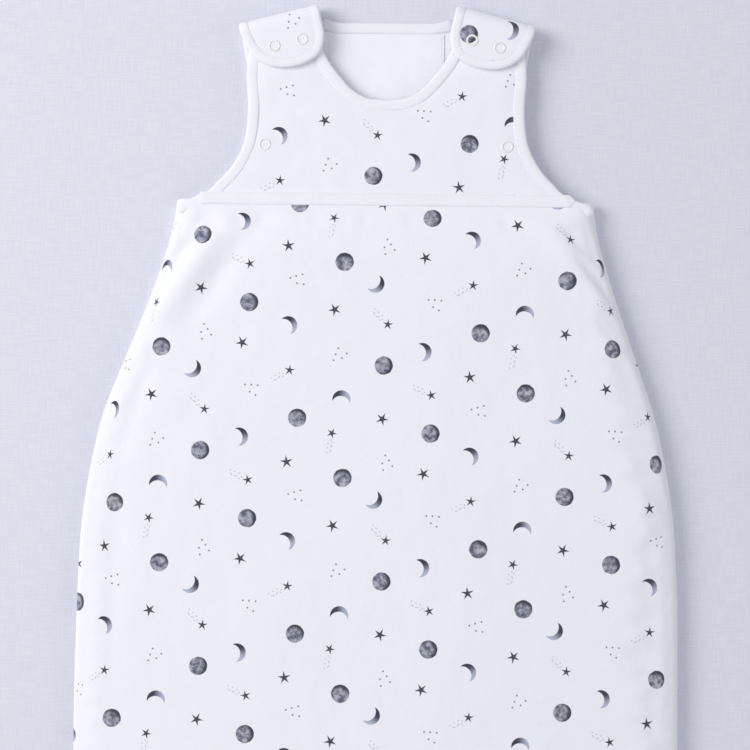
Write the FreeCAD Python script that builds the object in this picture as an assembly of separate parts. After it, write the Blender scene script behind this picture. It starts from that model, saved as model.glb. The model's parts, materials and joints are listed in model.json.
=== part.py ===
"""Baby sleeping bag, sleeveless, lying flat on its back with the shoulder tabs snapped shut.

Millimetres. X runs across the bag, +Y points to the head, +Z up, and the floor is z = 0.
Each padded part is three closed solids of their real thickness: shell, wadding and lining.
The back is one flat layer. The front is a flat yoke and, below the waist band, a fuller skirt
that is hollow like an upturned tray. The skirt is cut along a diagonal fold line, because the
part below that line lifts once the zip round the side and the hem is undone.
"""

import FreeCAD
import Part
import math
import os

Vec = FreeCAD.Vector
UP = Vec(0, 0, 1)

# ---------------------------------------------------------------- driving sizes
BAG_LENGTH = 950.0               # shoulder to hem, over the zip slider
HEM_WIDTH = 490.0
HEM_CORNER_RADIUS = 75.0
CHEST_WIDTH = 344.0              # across the underarm corners
ARMHOLE_DEPTH = 165.0            # shoulder to underarm corner
FLARE_LENGTH = 400.0             # length over which the sides widen
YOKE_WIDTH = 226.0               # at its narrowest, over the bindings
YOKE_DEPTH = 154.5               # shoulder to the top of the waist band

NECK_WIDTH = 114.0
FRONT_NECK_DEPTH = 78.3
BACK_NECK_DEPTH = 13.6
SHOULDER_WIDTH = 67.0            # one strap, measured along its fold
SHOULDER_SLOPE = 14.5            # degrees

SHEET = 0.8                      # jersey
WADDING = 3.2
YOKE_GAP = 5.2                   # room between the linings in the yoke
SKIRT_GAP = 11.0                 # room between the linings in the skirt
CLOTH_CLEARANCE = 0.4            # between cloth layers that move on each other

BINDING_WIDTH = 9.6
TAB_BINDING_WIDTH = 8.3
WAIST_BAND_THICKNESS = 1.6
TAB_LENGTH = 46.0                # top of the shoulder roll to the tab's rounded end
STRAP_SETBACK = 1.0              # front strap's end to the fold axis
STRAP_END_SHARE = 0.7            # of its half width, where the strap's end turns
STRAP_END_ROUND = 3.5            # how far it has dropped there
FACING_WIDTH = 94.0
FACING_DEPTH = 72.0
FACING_THICKNESS = 0.5

SNAP_RADIUS = 5.0
SNAP_HOLE_RADIUS = 3.2
SNAP_RING_HEIGHT = 0.9
SNAP_RING_ROUND = 0.3
SNAP_PRONGS = 5
SNAP_PRONG_RADIUS = 0.35
SNAP_PRONG_CIRCLE = 4.1
SNAP_PLATE = 1.0
SNAP_BULB_RADIUS = 1.8
SNAP_BULB_HEIGHT = 1.1
SNAP_SOCKET_HEIGHT = 1.9
SNAP_PLAY = 0.6                  # round the stud's bulb, inside the socket
SNAP_SPACING = 23.2
TAB_SNAP_DROP = 16.0             # fold axis to the row of tab snaps
TAB_SNAP_SHIFT = -2.5            # of their middle, along the shoulder
SIDE_SNAP_INSET = 14.0           # from the yoke's narrowest edge
SIDE_SNAP_DROP = 115.5           # below the shoulder

ZIP_LIP = 7.0                    # slot between the back layer and the front's wall
ZIP_ROW_HEIGHT = 1.9
ZIP_ROW_GAP = 0.7
ZIP_ROW_INSET = 0.3              # behind the outer face
ZIP_ROW_THICKNESS = 2.0
ZIP_TAPE = 0.6
ZIP_STOP_LENGTH = 5.0
ZIP_TOP_DROP = 19.0              # underarm corner to the zip's top end
ZIP_HEM_END = 164.0              # how far past the middle the zip runs along the hem
SLIDER_LENGTH = 12.0
SLIDER_PLATE = 1.2
SLIDER_PLAY = 0.35
WEDGE_WEB = 0.35                 # thin web of the wedge, between the rows of teeth
SLIDER_PARK = 149.0
SLIDER_TRAVEL = 298.0
LUG_THICKNESS = 1.0
LUG_LENGTH = 2.8
PULL_PIN_RADIUS = 0.5
PULL_BOSS_RADIUS = 1.3
PULL_BORE_RADIUS = 0.8
PULL_PLATE = 1.0
PULL_WIDTH = 5.4
PULL_LENGTH = 24.0
PULL_NECK = 4.5                  # from the pin to the wide part
PULL_HOLE_RADIUS = 1.2
PULL_END_ROUND = 2.43

FOLD_TOP_DROP = 10.0             # underarm corner to the top of the fold line
FOLD_TOP_OUT = 3.0               # and how far out from that corner it lies
FOLD_HEM_X = 118.0               # where the fold line meets the hem
FOLD_CLEARANCE = 0.3

# ------------------------------------------------------- heights and reference points
LAYER = SHEET + WADDING + SHEET
YOKE_Z = LAYER + YOKE_GAP
YOKE_TOP = YOKE_Z + LAYER
SKIRT_TOP = LAYER + SKIRT_GAP + LAYER
TAB_Z = YOKE_TOP + CLOTH_CLEARANCE
TAB_TOP = TAB_Z + LAYER
ROLL_Z = TAB_TOP / 2             # axis of both shoulder rolls
LIP_Z = LAYER + ZIP_LIP
ZIP_Z = LAYER + ZIP_LIP / 2      # where the two rows of teeth meet
ROW_LOW = ZIP_Z - ZIP_ROW_GAP / 2 - ZIP_ROW_HEIGHT
ROW_HIGH = ZIP_Z + ZIP_ROW_GAP / 2 + ZIP_ROW_HEIGHT

PIN_OUT = SLIDER_PLATE + SLIDER_PLAY + PULL_BOSS_RADIUS  # hem's face to the pull's pin
TOP_Y = BAG_LENGTH / 2
HEM_Y = PIN_OUT + PULL_BOSS_RADIUS - BAG_LENGTH / 2
UNDERARM = Vec(CHEST_WIDTH / 2, TOP_Y - ARMHOLE_DEPTH, 0)
WAIST_Y = TOP_Y - YOKE_DEPTH

SLOPE = math.radians(SHOULDER_SLOPE)
ALONG = Vec(math.cos(SLOPE), -math.sin(SLOPE), 0)    # along the right shoulder, outwards
HEADWARD = Vec(math.sin(SLOPE), math.cos(SLOPE), 0)  # square to it, towards the head
ROLL_NECK_END = Vec(NECK_WIDTH / 2, TOP_Y, 0) - HEADWARD * ROLL_Z
ROLL_ARM_END = ROLL_NECK_END + ALONG * SHOULDER_WIDTH
ROLL_MIDDLE = (ROLL_NECK_END + ROLL_ARM_END) * 0.5

FAR = 1500.0                     # longer than anything here, for cutting tools
PAST = 9.0                       # how far a cutting tool goes past a face
INSET_POINTS = 14                # points that a shrunk curve is drawn through

# ---------------------------------------------------------------------- small helpers


def mirrored(points):
    """The same points on the bag's other side, in the same order."""
    return [Vec(-p.x, p.y, p.z) for p in points]


def on_side(side, points):
    return points if side == "right" else mirrored(points)


def spline(points, start_way=None, end_way=None):
    """A smooth curve through the points, with its end directions given or left free."""
    curve = Part.BSplineCurve()
    if start_way:
        curve.interpolate(Points=points, InitialTangent=start_way, FinalTangent=end_way)
    else:
        curve.interpolate(points)
    return curve.toShape()


def line(a, b):
    return Part.makeLine(a, b)


def face_of(edges):
    return Part.Face(Part.Wire(Part.__sortEdges__(edges)))


def inset(face, distance):
    """The face shrunk by distance all round, with each curved edge drawn again as one spline."""
    if not distance:
        return face
    wire = face.makeOffset2D(-distance).OuterWire
    corners = [vertex.Point for vertex in wire.OrderedVertexes]
    edges = []
    for edge, a, b in zip(wire.OrderedEdges, corners, corners[1:] + corners[:1]):
        if isinstance(edge.Curve, Part.Line):
            edges.append(line(a, b))
            continue
        points = edge.discretize(Number=INSET_POINTS)
        ways = [edge.tangentAt(edge.FirstParameter), edge.tangentAt(edge.LastParameter)]
        if points[0].distanceToPoint(a) > points[-1].distanceToPoint(a):
            points.reverse()
            ways = [-ways[1], -ways[0]]
        edges.append(spline([a] + points[1:-1] + [b], *ways))
    return face_of(edges)


def prism(face, low, high):
    lifted = face.copy()
    lifted.translate(UP * low)
    return lifted.extrude(UP * (high - low))


def block(low, high):
    return Part.makeBox(high.x - low.x, high.y - low.y, high.z - low.z, low)


def rim(face, outer, inner, low, high):
    """A wall along the face's edge, between two distances inside it."""
    return prism(inset(face, outer), low, high).cut(prism(inset(face, inner), low - 1, high + 1))


def half_space(point, way):
    """Everything on the side of point that way looks to."""
    box = Part.makeBox(FAR, 2 * FAR, 2 * FAR, Vec(0, -FAR, -FAR))
    box.Placement = FreeCAD.Placement(point, FreeCAD.Rotation(Vec(1, 0, 0), way))
    return box


def strip(points, width):
    """A flat strip of even width on the right-hand side of a curve through the points."""
    curve = Part.BSplineCurve()
    curve.interpolate(points)
    shifted = []
    for point in points:
        run = curve.tangent(curve.parameter(point))[0]
        shifted.append(point + Vec(run.y, -run.x, 0) * width)
    ends = [line(points[0], shifted[0]), line(points[-1], shifted[-1])]
    return face_of([curve.toShape(), spline(shifted)] + ends)


def cylinder(centre, radius, low, high):
    return Part.makeCylinder(radius, high - low, Vec(centre.x, centre.y, low))


# ---------------------------------------------------------------------------- outlines


def side_edges():
    """Both sides, the hem's corners and the hem, from one underarm corner to the other."""
    shape = [(0, 0), (0.07, 0.06), (0.19, 0.26), (0.315, 0.5), (0.4, 0.66), (0.48, 0.78), (0.6, 0.9),
             (0.72, 0.96), (1, 1)]
    flare = HEM_WIDTH / 2 - UNDERARM.x
    side = [UNDERARM + Vec(out * flare, -down * FLARE_LENGTH, 0) for down, out in shape]
    foot = Vec(HEM_WIDTH / 2, HEM_Y + HEM_CORNER_RADIUS, 0)
    heel = Vec(HEM_WIDTH / 2 - HEM_CORNER_RADIUS, HEM_Y, 0)
    lean = HEM_CORNER_RADIUS * (1 - math.sqrt(0.5))
    middle = Vec(HEM_WIDTH / 2 - lean, HEM_Y + lean, 0)
    edges = [line(heel, *mirrored([heel]))]
    for hand in ("left", "right"):
        curve = on_side(hand, side)
        a, b, c = on_side(hand, [foot, middle, heel])
        first = (curve[1] - curve[0]).normalize()
        edges += [spline(curve, first, Vec(0, -1, 0)), line(curve[-1], a), Part.Arc(a, b, c).toShape()]
    return edges


def armhole():
    """Right armhole's edge below the strap, from high on the strap to the underarm corner."""
    narrow, top = YOKE_WIDTH / 2, ROLL_ARM_END
    shape = [(0.2, 0.02), (0.42, 0), (0.594, 0.034), (0.7, 0.12), (0.79, 0.25), (0.862, 0.41),
             (0.927, 0.58), (1, 1)]
    return [Vec(narrow + out * (UNDERARM.x - narrow), top.y + down * (UNDERARM.y - top.y), 0)
            for down, out in shape]


def back_neck():
    """Back neck's edge, from the left shoulder's fold to the right one's."""
    low = TOP_Y - BACK_NECK_DEPTH
    half = [Vec(ROLL_NECK_END.x * 0.72, low + 0.2, 0), Vec(ROLL_NECK_END.x * 0.36, low, 0)]
    return mirrored([ROLL_NECK_END] + half) + half[::-1] + [ROLL_NECK_END]


def strap_end():
    """Middle of the right front strap's end, and the two points that round it off, neck side first."""
    middle = ROLL_MIDDLE - HEADWARD * STRAP_SETBACK
    reach = ALONG * (SHOULDER_WIDTH / 2 * STRAP_END_SHARE)
    drop = HEADWARD * STRAP_END_ROUND
    return middle, middle - reach - drop, middle + reach - drop


def front_neck():
    """Front neck's edge, from the middle of the left strap's end to the middle of the right one's."""
    middle, turn, _ = strap_end()
    low = TOP_Y - FRONT_NECK_DEPTH
    half = NECK_WIDTH / 2
    shape = [(0, 0), (0.26, 1.4), (0.49, 8.4), (0.7, 21.5), (0.86, 34), (0.97, 47)]
    curve = [Vec(out * half, low + rise, 0) for out, rise in shape]
    return mirrored([middle, turn] + curve[:0:-1]) + curve + [turn, middle]


def front_armhole(hand):
    """Front armhole's edge from the middle of the strap's end to the underarm corner."""
    middle, _, turn = strap_end()
    return on_side(hand, [middle, turn] + armhole())


def back_armhole(hand):
    return on_side(hand, [ROLL_ARM_END] + armhole())


def tab_edge():
    """Right tab's edge from the neck end of its fold, round its end, to the armhole end."""
    shape = [(-0.5, 0), (-0.48, 0.5), (-0.36, 0.86), (-0.1, 1), (0.2, 0.9), (0.41, 0.56), (0.5, 0)]
    reach = TAB_LENGTH - ROLL_Z
    return [ROLL_MIDDLE + ALONG * u * SHOULDER_WIDTH - HEADWARD * v * reach for u, v in shape]


SKIRT = face_of(side_edges() + [line(UNDERARM, *mirrored([UNDERARM]))])
BACK = face_of(side_edges() + [spline(back_neck())]
               + [spline(back_armhole(hand)) for hand in ("left", "right")]
               + [line(*on_side(hand, [ROLL_NECK_END, ROLL_ARM_END])) for hand in ("left", "right")])
YOKE = face_of([spline(front_neck()), line(UNDERARM, *mirrored([UNDERARM]))]
               + [spline(front_armhole(hand)) for hand in ("left", "right")])

# ------------------------------------------------------------ cutting regions of the skirt
FOLD_TOP = Vec(-UNDERARM.x - FOLD_TOP_OUT, UNDERARM.y - FOLD_TOP_DROP, 0)
FOLD_FOOT = Vec(FOLD_HEM_X, HEM_Y, 0)
FOLD_RUN = (FOLD_FOOT - FOLD_TOP).normalize()
OPENING_WAY = Vec(FOLD_RUN.y, -FOLD_RUN.x, 0)
FLAP_ZONE = half_space(FOLD_TOP + OPENING_WAY * FOLD_CLEARANCE, OPENING_WAY)
FIXED_ZONE = half_space(FOLD_TOP, OPENING_WAY * -1)


def zip_zone(top_drop, hem_end):
    """Round the left side and the hem, from top_drop below the underarm corner to hem_end."""
    low = Vec(-FAR, HEM_Y - PAST, -PAST)
    side = block(low, Vec(-HEM_WIDTH / 4, UNDERARM.y - top_drop, SKIRT_TOP + PAST))
    hem = block(low, Vec(hem_end, HEM_Y + HEM_CORNER_RADIUS, SKIRT_TOP + PAST))
    return side.fuse(hem)


# ------------------------------------------------------------------------ snap fasteners


def prongs(centre, low, high):
    pins = []
    for i in range(SNAP_PRONGS):
        turn = 2 * math.pi * i / SNAP_PRONGS
        spot = centre + Vec(math.cos(turn), math.sin(turn), 0) * SNAP_PRONG_CIRCLE
        pins.append(cylinder(spot, SNAP_PRONG_RADIUS, low, high))
    return pins[0].multiFuse(pins[1:])


def ring(centre, low):
    """The open ring that shows on the outside of the cloth."""
    high = low + SNAP_RING_HEIGHT
    body = cylinder(centre, SNAP_RADIUS, low, high).cut(cylinder(centre, SNAP_HOLE_RADIUS, low, high))
    edges = [e for e in body.Edges if abs(e.Length - 2 * math.pi * SNAP_RADIUS) < 0.01]
    return body.makeFillet(SNAP_RING_ROUND, edges)


def socket(centre, low):
    """The female half: a disc with a bore from below that the stud's bulb sits in."""
    bore = cylinder(centre, SNAP_BULB_RADIUS + SNAP_PLAY, low, low + SNAP_BULB_HEIGHT)
    return cylinder(centre, SNAP_RADIUS, low, low + SNAP_SOCKET_HEIGHT).cut(bore)


def stud(centre, low):
    """The male half: a plate with a round bulb on top."""
    top = low + SNAP_PLATE + SNAP_BULB_HEIGHT
    bulb = cylinder(centre, SNAP_BULB_RADIUS, low, top)
    edges = [e for e in bulb.Edges if e.BoundBox.ZMin > top - 0.01]
    bulb = bulb.makeFillet(SNAP_RING_ROUND, edges)
    return cylinder(centre, SNAP_RADIUS, low, low + SNAP_PLATE).fuse(bulb)


def tab_snap_places(hand):
    middle = ROLL_MIDDLE - HEADWARD * TAB_SNAP_DROP + ALONG * TAB_SNAP_SHIFT
    return on_side(hand, [middle - ALONG * SNAP_SPACING / 2, middle + ALONG * SNAP_SPACING / 2])


def side_snap_places():
    place = Vec(YOKE_WIDTH / 2 - SIDE_SNAP_INSET, TOP_Y - SIDE_SNAP_DROP, 0)
    return mirrored([place]) + [place]


def snap_room(places, plate_low, plate_high, prong_low, prong_high):
    """The cloth that a snap's pressed-in plate and its prongs take up."""
    room = []
    for place in places:
        room.append(cylinder(place, SNAP_RADIUS, plate_low, plate_high))
        room.append(prongs(place, prong_low, prong_high))
    return room


def cut_all(shape, tools):
    for tool in tools:
        shape = shape.cut(tool)
    return shape


# ---------------------------------------------------------------------------- the pieces


def back_bindings():
    strips = {"back_neck_binding": strip(back_neck(), BINDING_WIDTH)}
    strips["right_back_armhole_binding"] = strip(back_armhole("right"), BINDING_WIDTH)
    strips["left_back_armhole_binding"] = strip(back_armhole("left"), -BINDING_WIDTH)
    return {name: prism(face, 0, LAYER).common(prism(BACK, 0, LAYER)) for name, face in strips.items()}


def front_bindings():
    strips = {"front_neck_binding": strip(front_neck(), BINDING_WIDTH)}
    strips["right_front_armhole_binding"] = strip(front_armhole("right"), BINDING_WIDTH)
    strips["left_front_armhole_binding"] = strip(front_armhole("left"), -BINDING_WIDTH)
    return {name: prism(face, YOKE_Z, YOKE_TOP) for name, face in strips.items()}


def make_back(parts):
    bindings = back_bindings()
    neck = bindings["back_neck_binding"]
    for hand in ("left", "right"):
        name = hand + "_back_armhole_binding"
        bindings[name] = bindings[name].cut(neck)
    parts.update(bindings)
    tools = list(bindings.values())
    inner = inset(BACK, SHEET)
    rings = snap_room(side_snap_places(), -1, SNAP_RING_HEIGHT, SNAP_RING_HEIGHT, LAYER)
    shell = prism(BACK, 0, LAYER).cut(prism(inner, SHEET, LAYER))
    parts["back_shell"] = cut_all(shell, tools + rings)
    parts["back_wadding"] = cut_all(prism(inner, SHEET, SHEET + WADDING), tools + rings)
    parts["back_lining"] = cut_all(prism(inner, SHEET + WADDING, LAYER), tools + rings)
    top = TOP_Y - BACK_NECK_DEPTH - BINDING_WIDTH
    low = Vec(-FACING_WIDTH / 2, top - FACING_DEPTH, LAYER)
    parts["back_neck_facing"] = block(low, Vec(FACING_WIDTH / 2, top, LAYER + FACING_THICKNESS))


def make_yoke(parts):
    bindings = front_bindings()
    neck = bindings["front_neck_binding"]
    for hand in ("left", "right"):
        name = hand + "_front_armhole_binding"
        bindings[name] = bindings[name].cut(neck)
    rooms = snap_room(side_snap_places(), YOKE_Z, YOKE_Z + SNAP_PLATE, YOKE_Z, YOKE_TOP)
    for hand in ("left", "right"):
        rooms += snap_room(tab_snap_places(hand), YOKE_TOP - SNAP_PLATE, YOKE_TOP, YOKE_Z, YOKE_TOP)
    bindings["front_neck_binding"] = cut_all(neck, rooms)
    parts.update(bindings)
    tools = [neck] + list(bindings.values()) + rooms
    levels = {"lining": (0, SHEET), "wadding": (SHEET, SHEET + WADDING), "shell": (LAYER - SHEET, LAYER)}
    for name, (low, high) in levels.items():
        parts["front_yoke_" + name] = cut_all(prism(YOKE, YOKE_Z + low, YOKE_Z + high), tools)
    low = Vec(-UNDERARM.x, UNDERARM.y, YOKE_TOP)
    band = block(low, Vec(UNDERARM.x, WAIST_Y, YOKE_TOP + WAIST_BAND_THICKNESS))
    edges = [prism(strip(front_armhole("right"), BINDING_WIDTH / 2), YOKE_Z, TAB_TOP),
             prism(strip(front_armhole("left"), -BINDING_WIDTH / 2), YOKE_Z, TAB_TOP)]
    parts["waist_band"] = cut_all(band.common(prism(YOKE, YOKE_Z, TAB_TOP)), edges)


def make_skirt(parts):
    """Shell and lining are trays. The wadding between them is a flat top and a wall round the edge."""
    within = SHEET + WADDING
    top, under = SKIRT_TOP - SHEET, SKIRT_TOP - within
    outer, middle, inner = inset(SKIRT, SHEET), inset(SKIRT, within), inset(SKIRT, LAYER)
    filling = prism(outer, LAYER, top)
    hollow = prism(middle, LAYER, under)
    layers = {"shell": prism(SKIRT, LAYER, SKIRT_TOP).cut(filling),
              "wadding": prism(outer, under, top),
              "side_wadding": prism(outer, LAYER, under).cut(hollow),
              "lining": hollow.cut(prism(inner, LAYER, SKIRT_TOP - LAYER))}
    lip = prism(SKIRT, LAYER, LIP_Z).common(zip_zone(FOLD_TOP_DROP, ZIP_HEM_END))
    reach = UNDERARM.x - LAYER
    waist = block(Vec(-reach, UNDERARM.y - 3 * LAYER, LAYER), Vec(reach, UNDERARM.y + 1, YOKE_Z))
    arms = [prism(strip(front_armhole("right"), BINDING_WIDTH), YOKE_Z, SKIRT_TOP + PAST),
            prism(strip(front_armhole("left"), -BINDING_WIDTH), YOKE_Z, SKIRT_TOP + PAST)]
    for name, whole in layers.items():
        layer = cut_all(whole, [lip, waist] + arms)
        parts["front_skirt_" + name] = layer.common(FIXED_ZONE)
        parts["front_flap_" + name] = layer.common(FLAP_ZONE)


def make_zip(parts):
    back_edge = ZIP_ROW_INSET + ZIP_ROW_THICKNESS
    zone = zip_zone(ZIP_TOP_DROP + ZIP_STOP_LENGTH, ZIP_HEM_END - ZIP_STOP_LENGTH)
    whole = zip_zone(ZIP_TOP_DROP, ZIP_HEM_END)
    upper_row = rim(SKIRT, ZIP_ROW_INSET, back_edge, ROW_HIGH - ZIP_ROW_HEIGHT, ROW_HIGH)
    lower_row = rim(SKIRT, ZIP_ROW_INSET, back_edge, ROW_LOW, ROW_LOW + ZIP_ROW_HEIGHT)
    upper_tape = rim(SKIRT, back_edge, back_edge + ZIP_TAPE, ROW_HIGH - ZIP_ROW_HEIGHT, LIP_Z)
    lower_tape = rim(SKIRT, back_edge, back_edge + ZIP_TAPE, LAYER, ROW_LOW + ZIP_ROW_HEIGHT)
    parts["zip_tape_back"] = lower_tape.common(whole)
    parts["zip_teeth_back"] = lower_row.common(zone)
    parts["zip_tape_flap"] = upper_tape.common(zone).common(FLAP_ZONE)
    parts["zip_teeth_flap"] = upper_row.common(zone).common(FLAP_ZONE)
    parts["zip_tape_hem_end"] = upper_tape.common(whole).common(FIXED_ZONE)
    parts["zip_teeth_hem_end"] = upper_row.common(zone).common(FIXED_ZONE)
    ends = upper_row.fuse(lower_row).common(whole).cut(zone)
    hem_side = half_space(Vec(0, 0, 0), Vec(1, 0, 0))
    parts["zip_top_stops"] = ends.common(hem_side)
    start = rim(SKIRT, ZIP_ROW_INSET, back_edge, ROW_LOW, ROW_HIGH)
    parts["zip_bottom_stop"] = start.common(whole).cut(zone).cut(hem_side)


def make_slider(parts):
    x, y = SLIDER_PARK, HEM_Y
    low, high = LAYER + SLIDER_PLAY, LIP_Z - SLIDER_PLAY
    back = ZIP_ROW_INSET + ZIP_ROW_THICKNESS + ZIP_TAPE + SLIDER_PLAY
    half = SLIDER_LENGTH / 2
    face = y - SLIDER_PLATE
    outer = block(Vec(x - half, face, low), Vec(x + half, y, high))
    inner = block(Vec(x - half, y + back, low), Vec(x + half, y + back + SLIDER_PLATE, high))
    gap = WEDGE_WEB / 2
    wedge = block(Vec(x - half / 3, y, ZIP_Z - gap), Vec(x + half / 3, y + back, ZIP_Z + gap))
    pin_y = y - PIN_OUT
    body = outer.multiFuse([inner, wedge, cylinder(Vec(x, pin_y, 0), PULL_PIN_RADIUS, low, high)])
    for z in (low, high - LUG_THICKNESS):
        lug = block(Vec(x - LUG_LENGTH / 2, pin_y, z), Vec(x + LUG_LENGTH / 2, face, z + LUG_THICKNESS))
        body = body.fuse(lug).fuse(cylinder(Vec(x, pin_y, 0), PULL_BOSS_RADIUS, z, z + LUG_THICKNESS))
    parts["zip_slider"] = body.removeSplitter()


def make_pull(parts):
    x, y = SLIDER_PARK, HEM_Y - PIN_OUT
    low = LAYER + SLIDER_PLAY + LUG_THICKNESS + SLIDER_PLAY
    high = LIP_Z - SLIDER_PLAY - LUG_THICKNESS - SLIDER_PLAY
    pin = Vec(x, y, 0)
    half = PULL_PLATE / 2
    boss = cylinder(pin, PULL_BOSS_RADIUS, low, high)
    neck = block(Vec(x, y - half, low), Vec(x + PULL_NECK, y + half, high))
    wide_low = ZIP_Z - PULL_WIDTH / 2
    far_end = Vec(x + PULL_LENGTH, y + half, wide_low + PULL_WIDTH)
    plate = block(Vec(x + PULL_NECK, y - half, wide_low), far_end)
    corners = [e for e in plate.Edges if abs(e.tangentAt(0).y) > 0.99 and e.BoundBox.XMin > x + PULL_NECK + 1]
    plate = plate.makeFillet(PULL_END_ROUND, corners)
    hole_at = Vec(x + PULL_LENGTH - PULL_WIDTH / 2, y - 2 * half, ZIP_Z)
    hole = Part.makeCylinder(PULL_HOLE_RADIUS, 4 * half, hole_at, Vec(0, 1, 0))
    body = boss.multiFuse([neck, plate]).cut(cylinder(pin, PULL_BORE_RADIUS, low, high)).cut(hole)
    parts["zip_puller"] = body.removeSplitter()


def shoulder_roll(hand):
    """The strap's quilted layers where they turn over the shoulder: half a ring."""
    a, b = on_side(hand, [ROLL_NECK_END, ROLL_ARM_END])
    axis = (b - a).normalize()
    base = Vec(a.x, a.y, ROLL_Z)
    width = SHOULDER_WIDTH
    whole = Part.makeCylinder(ROLL_Z, width, base, axis)
    hollow = Part.makeCylinder(ROLL_Z - LAYER, width, base, axis)
    way = on_side(hand, [HEADWARD])[0]
    return whole.cut(hollow).common(half_space(a, way))


def make_tab(parts, hand):
    edge = on_side(hand, tab_edge())
    outline = face_of([spline(edge), line(edge[-1], edge[0])])
    width = TAB_BINDING_WIDTH if hand == "left" else -TAB_BINDING_WIDTH
    border = prism(strip(edge, width), TAB_Z, TAB_TOP).common(prism(outline, TAB_Z, TAB_TOP))
    places = tab_snap_places(hand)
    socket_top = TAB_Z + SNAP_SOCKET_HEIGHT
    tools = [border] + snap_room(places, TAB_Z, socket_top, socket_top, TAB_TOP)
    levels = {"lining": (0, SHEET), "wadding": (SHEET, SHEET + WADDING), "shell": (LAYER - SHEET, LAYER)}
    for name, (low, high) in levels.items():
        parts[hand + "_tab_" + name] = cut_all(prism(outline, TAB_Z + low, TAB_Z + high), tools)
    parts[hand + "_tab_binding"] = border
    parts[hand + "_shoulder_roll"] = shoulder_roll(hand)
    parts[hand + "_tab_snap_rings"] = Part.makeCompound(
        [ring(p, TAB_TOP).fuse(prongs(p, socket_top, TAB_TOP)) for p in places])
    parts[hand + "_tab_snap_sockets"] = Part.makeCompound([socket(p, TAB_Z) for p in places])
    plate_z = YOKE_TOP - SNAP_PLATE
    ring_z = YOKE_Z - SNAP_RING_HEIGHT
    parts[hand + "_strap_snap_studs"] = Part.makeCompound([stud(p, plate_z) for p in places])
    parts[hand + "_strap_snap_rings"] = Part.makeCompound(
        [ring(p, ring_z).fuse(prongs(p, YOKE_Z, plate_z)) for p in places])


def make_side_snaps(parts):
    """Snaps under the arms: sockets inside the yoke, studs inside the back, rings outside both."""
    places = side_snap_places()
    socket_low = YOKE_Z + SNAP_PLATE - SNAP_SOCKET_HEIGHT
    socket_top = YOKE_Z + SNAP_PLATE
    parts["side_snap_front_rings"] = Part.makeCompound(
        [ring(p, YOKE_TOP).fuse(prongs(p, socket_top, YOKE_TOP)) for p in places])
    parts["side_snap_sockets"] = Part.makeCompound([socket(p, socket_low) for p in places])
    parts["side_snap_studs"] = Part.makeCompound([stud(p, LAYER) for p in places])
    parts["side_snap_back_rings"] = Part.makeCompound(
        [ring(p, 0).fuse(prongs(p, SNAP_RING_HEIGHT, LAYER)) for p in places])


def main():
    parts = {}
    make_back(parts)
    make_yoke(parts)
    make_skirt(parts)
    make_zip(parts)
    make_slider(parts)
    make_pull(parts)
    for hand in ("left", "right"):
        make_tab(parts, hand)
    make_side_snaps(parts)
    os.makedirs("parts", exist_ok=True)
    for name, shape in parts.items():
        solids = shape.Solids
        box = shape.BoundBox
        print(f"{name:30s} solids {len(solids)} valid {shape.isValid()} volume {shape.Volume:10.1f} "
              f"z {box.ZMin:6.2f} {box.ZMax:6.2f} y {box.YMin:7.1f} {box.YMax:7.1f}")
        shape.exportStep(os.path.join("parts", name + ".step"))


main()
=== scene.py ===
# %% [markdown]
# # A padded baby sleeping bag
#
# The bag lies flat on its back. This lesson dresses its plain technical parts in cloth: soft quilted
# panels, folded bindings, a printed jersey, ring snaps and a zip. All lengths are in metres.

# %% Load the frame
import json
import math

import bpy
import numpy as np
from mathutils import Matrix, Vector, noise

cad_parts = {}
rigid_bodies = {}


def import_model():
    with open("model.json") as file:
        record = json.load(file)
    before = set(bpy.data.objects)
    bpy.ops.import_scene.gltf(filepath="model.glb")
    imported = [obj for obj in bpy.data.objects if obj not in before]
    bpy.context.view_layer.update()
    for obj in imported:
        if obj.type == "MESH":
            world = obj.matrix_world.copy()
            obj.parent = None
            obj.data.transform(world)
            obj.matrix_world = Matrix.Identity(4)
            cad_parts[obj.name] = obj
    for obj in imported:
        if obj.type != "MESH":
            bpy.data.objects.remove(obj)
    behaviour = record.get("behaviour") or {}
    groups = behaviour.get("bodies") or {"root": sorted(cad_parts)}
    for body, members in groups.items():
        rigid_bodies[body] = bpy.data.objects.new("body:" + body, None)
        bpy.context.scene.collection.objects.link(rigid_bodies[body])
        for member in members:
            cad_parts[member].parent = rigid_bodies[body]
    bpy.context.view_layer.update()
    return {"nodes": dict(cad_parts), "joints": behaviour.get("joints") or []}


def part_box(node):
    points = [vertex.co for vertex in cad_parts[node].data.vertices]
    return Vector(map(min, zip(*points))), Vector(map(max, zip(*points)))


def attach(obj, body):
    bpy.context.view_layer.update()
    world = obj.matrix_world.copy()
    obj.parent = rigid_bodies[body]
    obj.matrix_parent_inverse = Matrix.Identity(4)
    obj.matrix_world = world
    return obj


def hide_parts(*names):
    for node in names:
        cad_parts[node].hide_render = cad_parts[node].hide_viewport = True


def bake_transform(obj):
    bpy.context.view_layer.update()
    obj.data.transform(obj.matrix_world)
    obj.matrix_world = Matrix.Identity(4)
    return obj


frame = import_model()
NODES = frame["nodes"]

# %% [markdown]
# ## Places read from the frame
#
# Every panel sits where its technical solid sits, so heights and edges are read from those solids.
# Typed numbers would go wrong when the bag changes. The shoulder straps lean, so their directions
# come from the tab's hinge, and the way the front opens comes from the flap's.

# %% Levels and corners
def low_high(node, axis):
    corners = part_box(node)
    return corners[0][axis], corners[1][axis]


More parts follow.
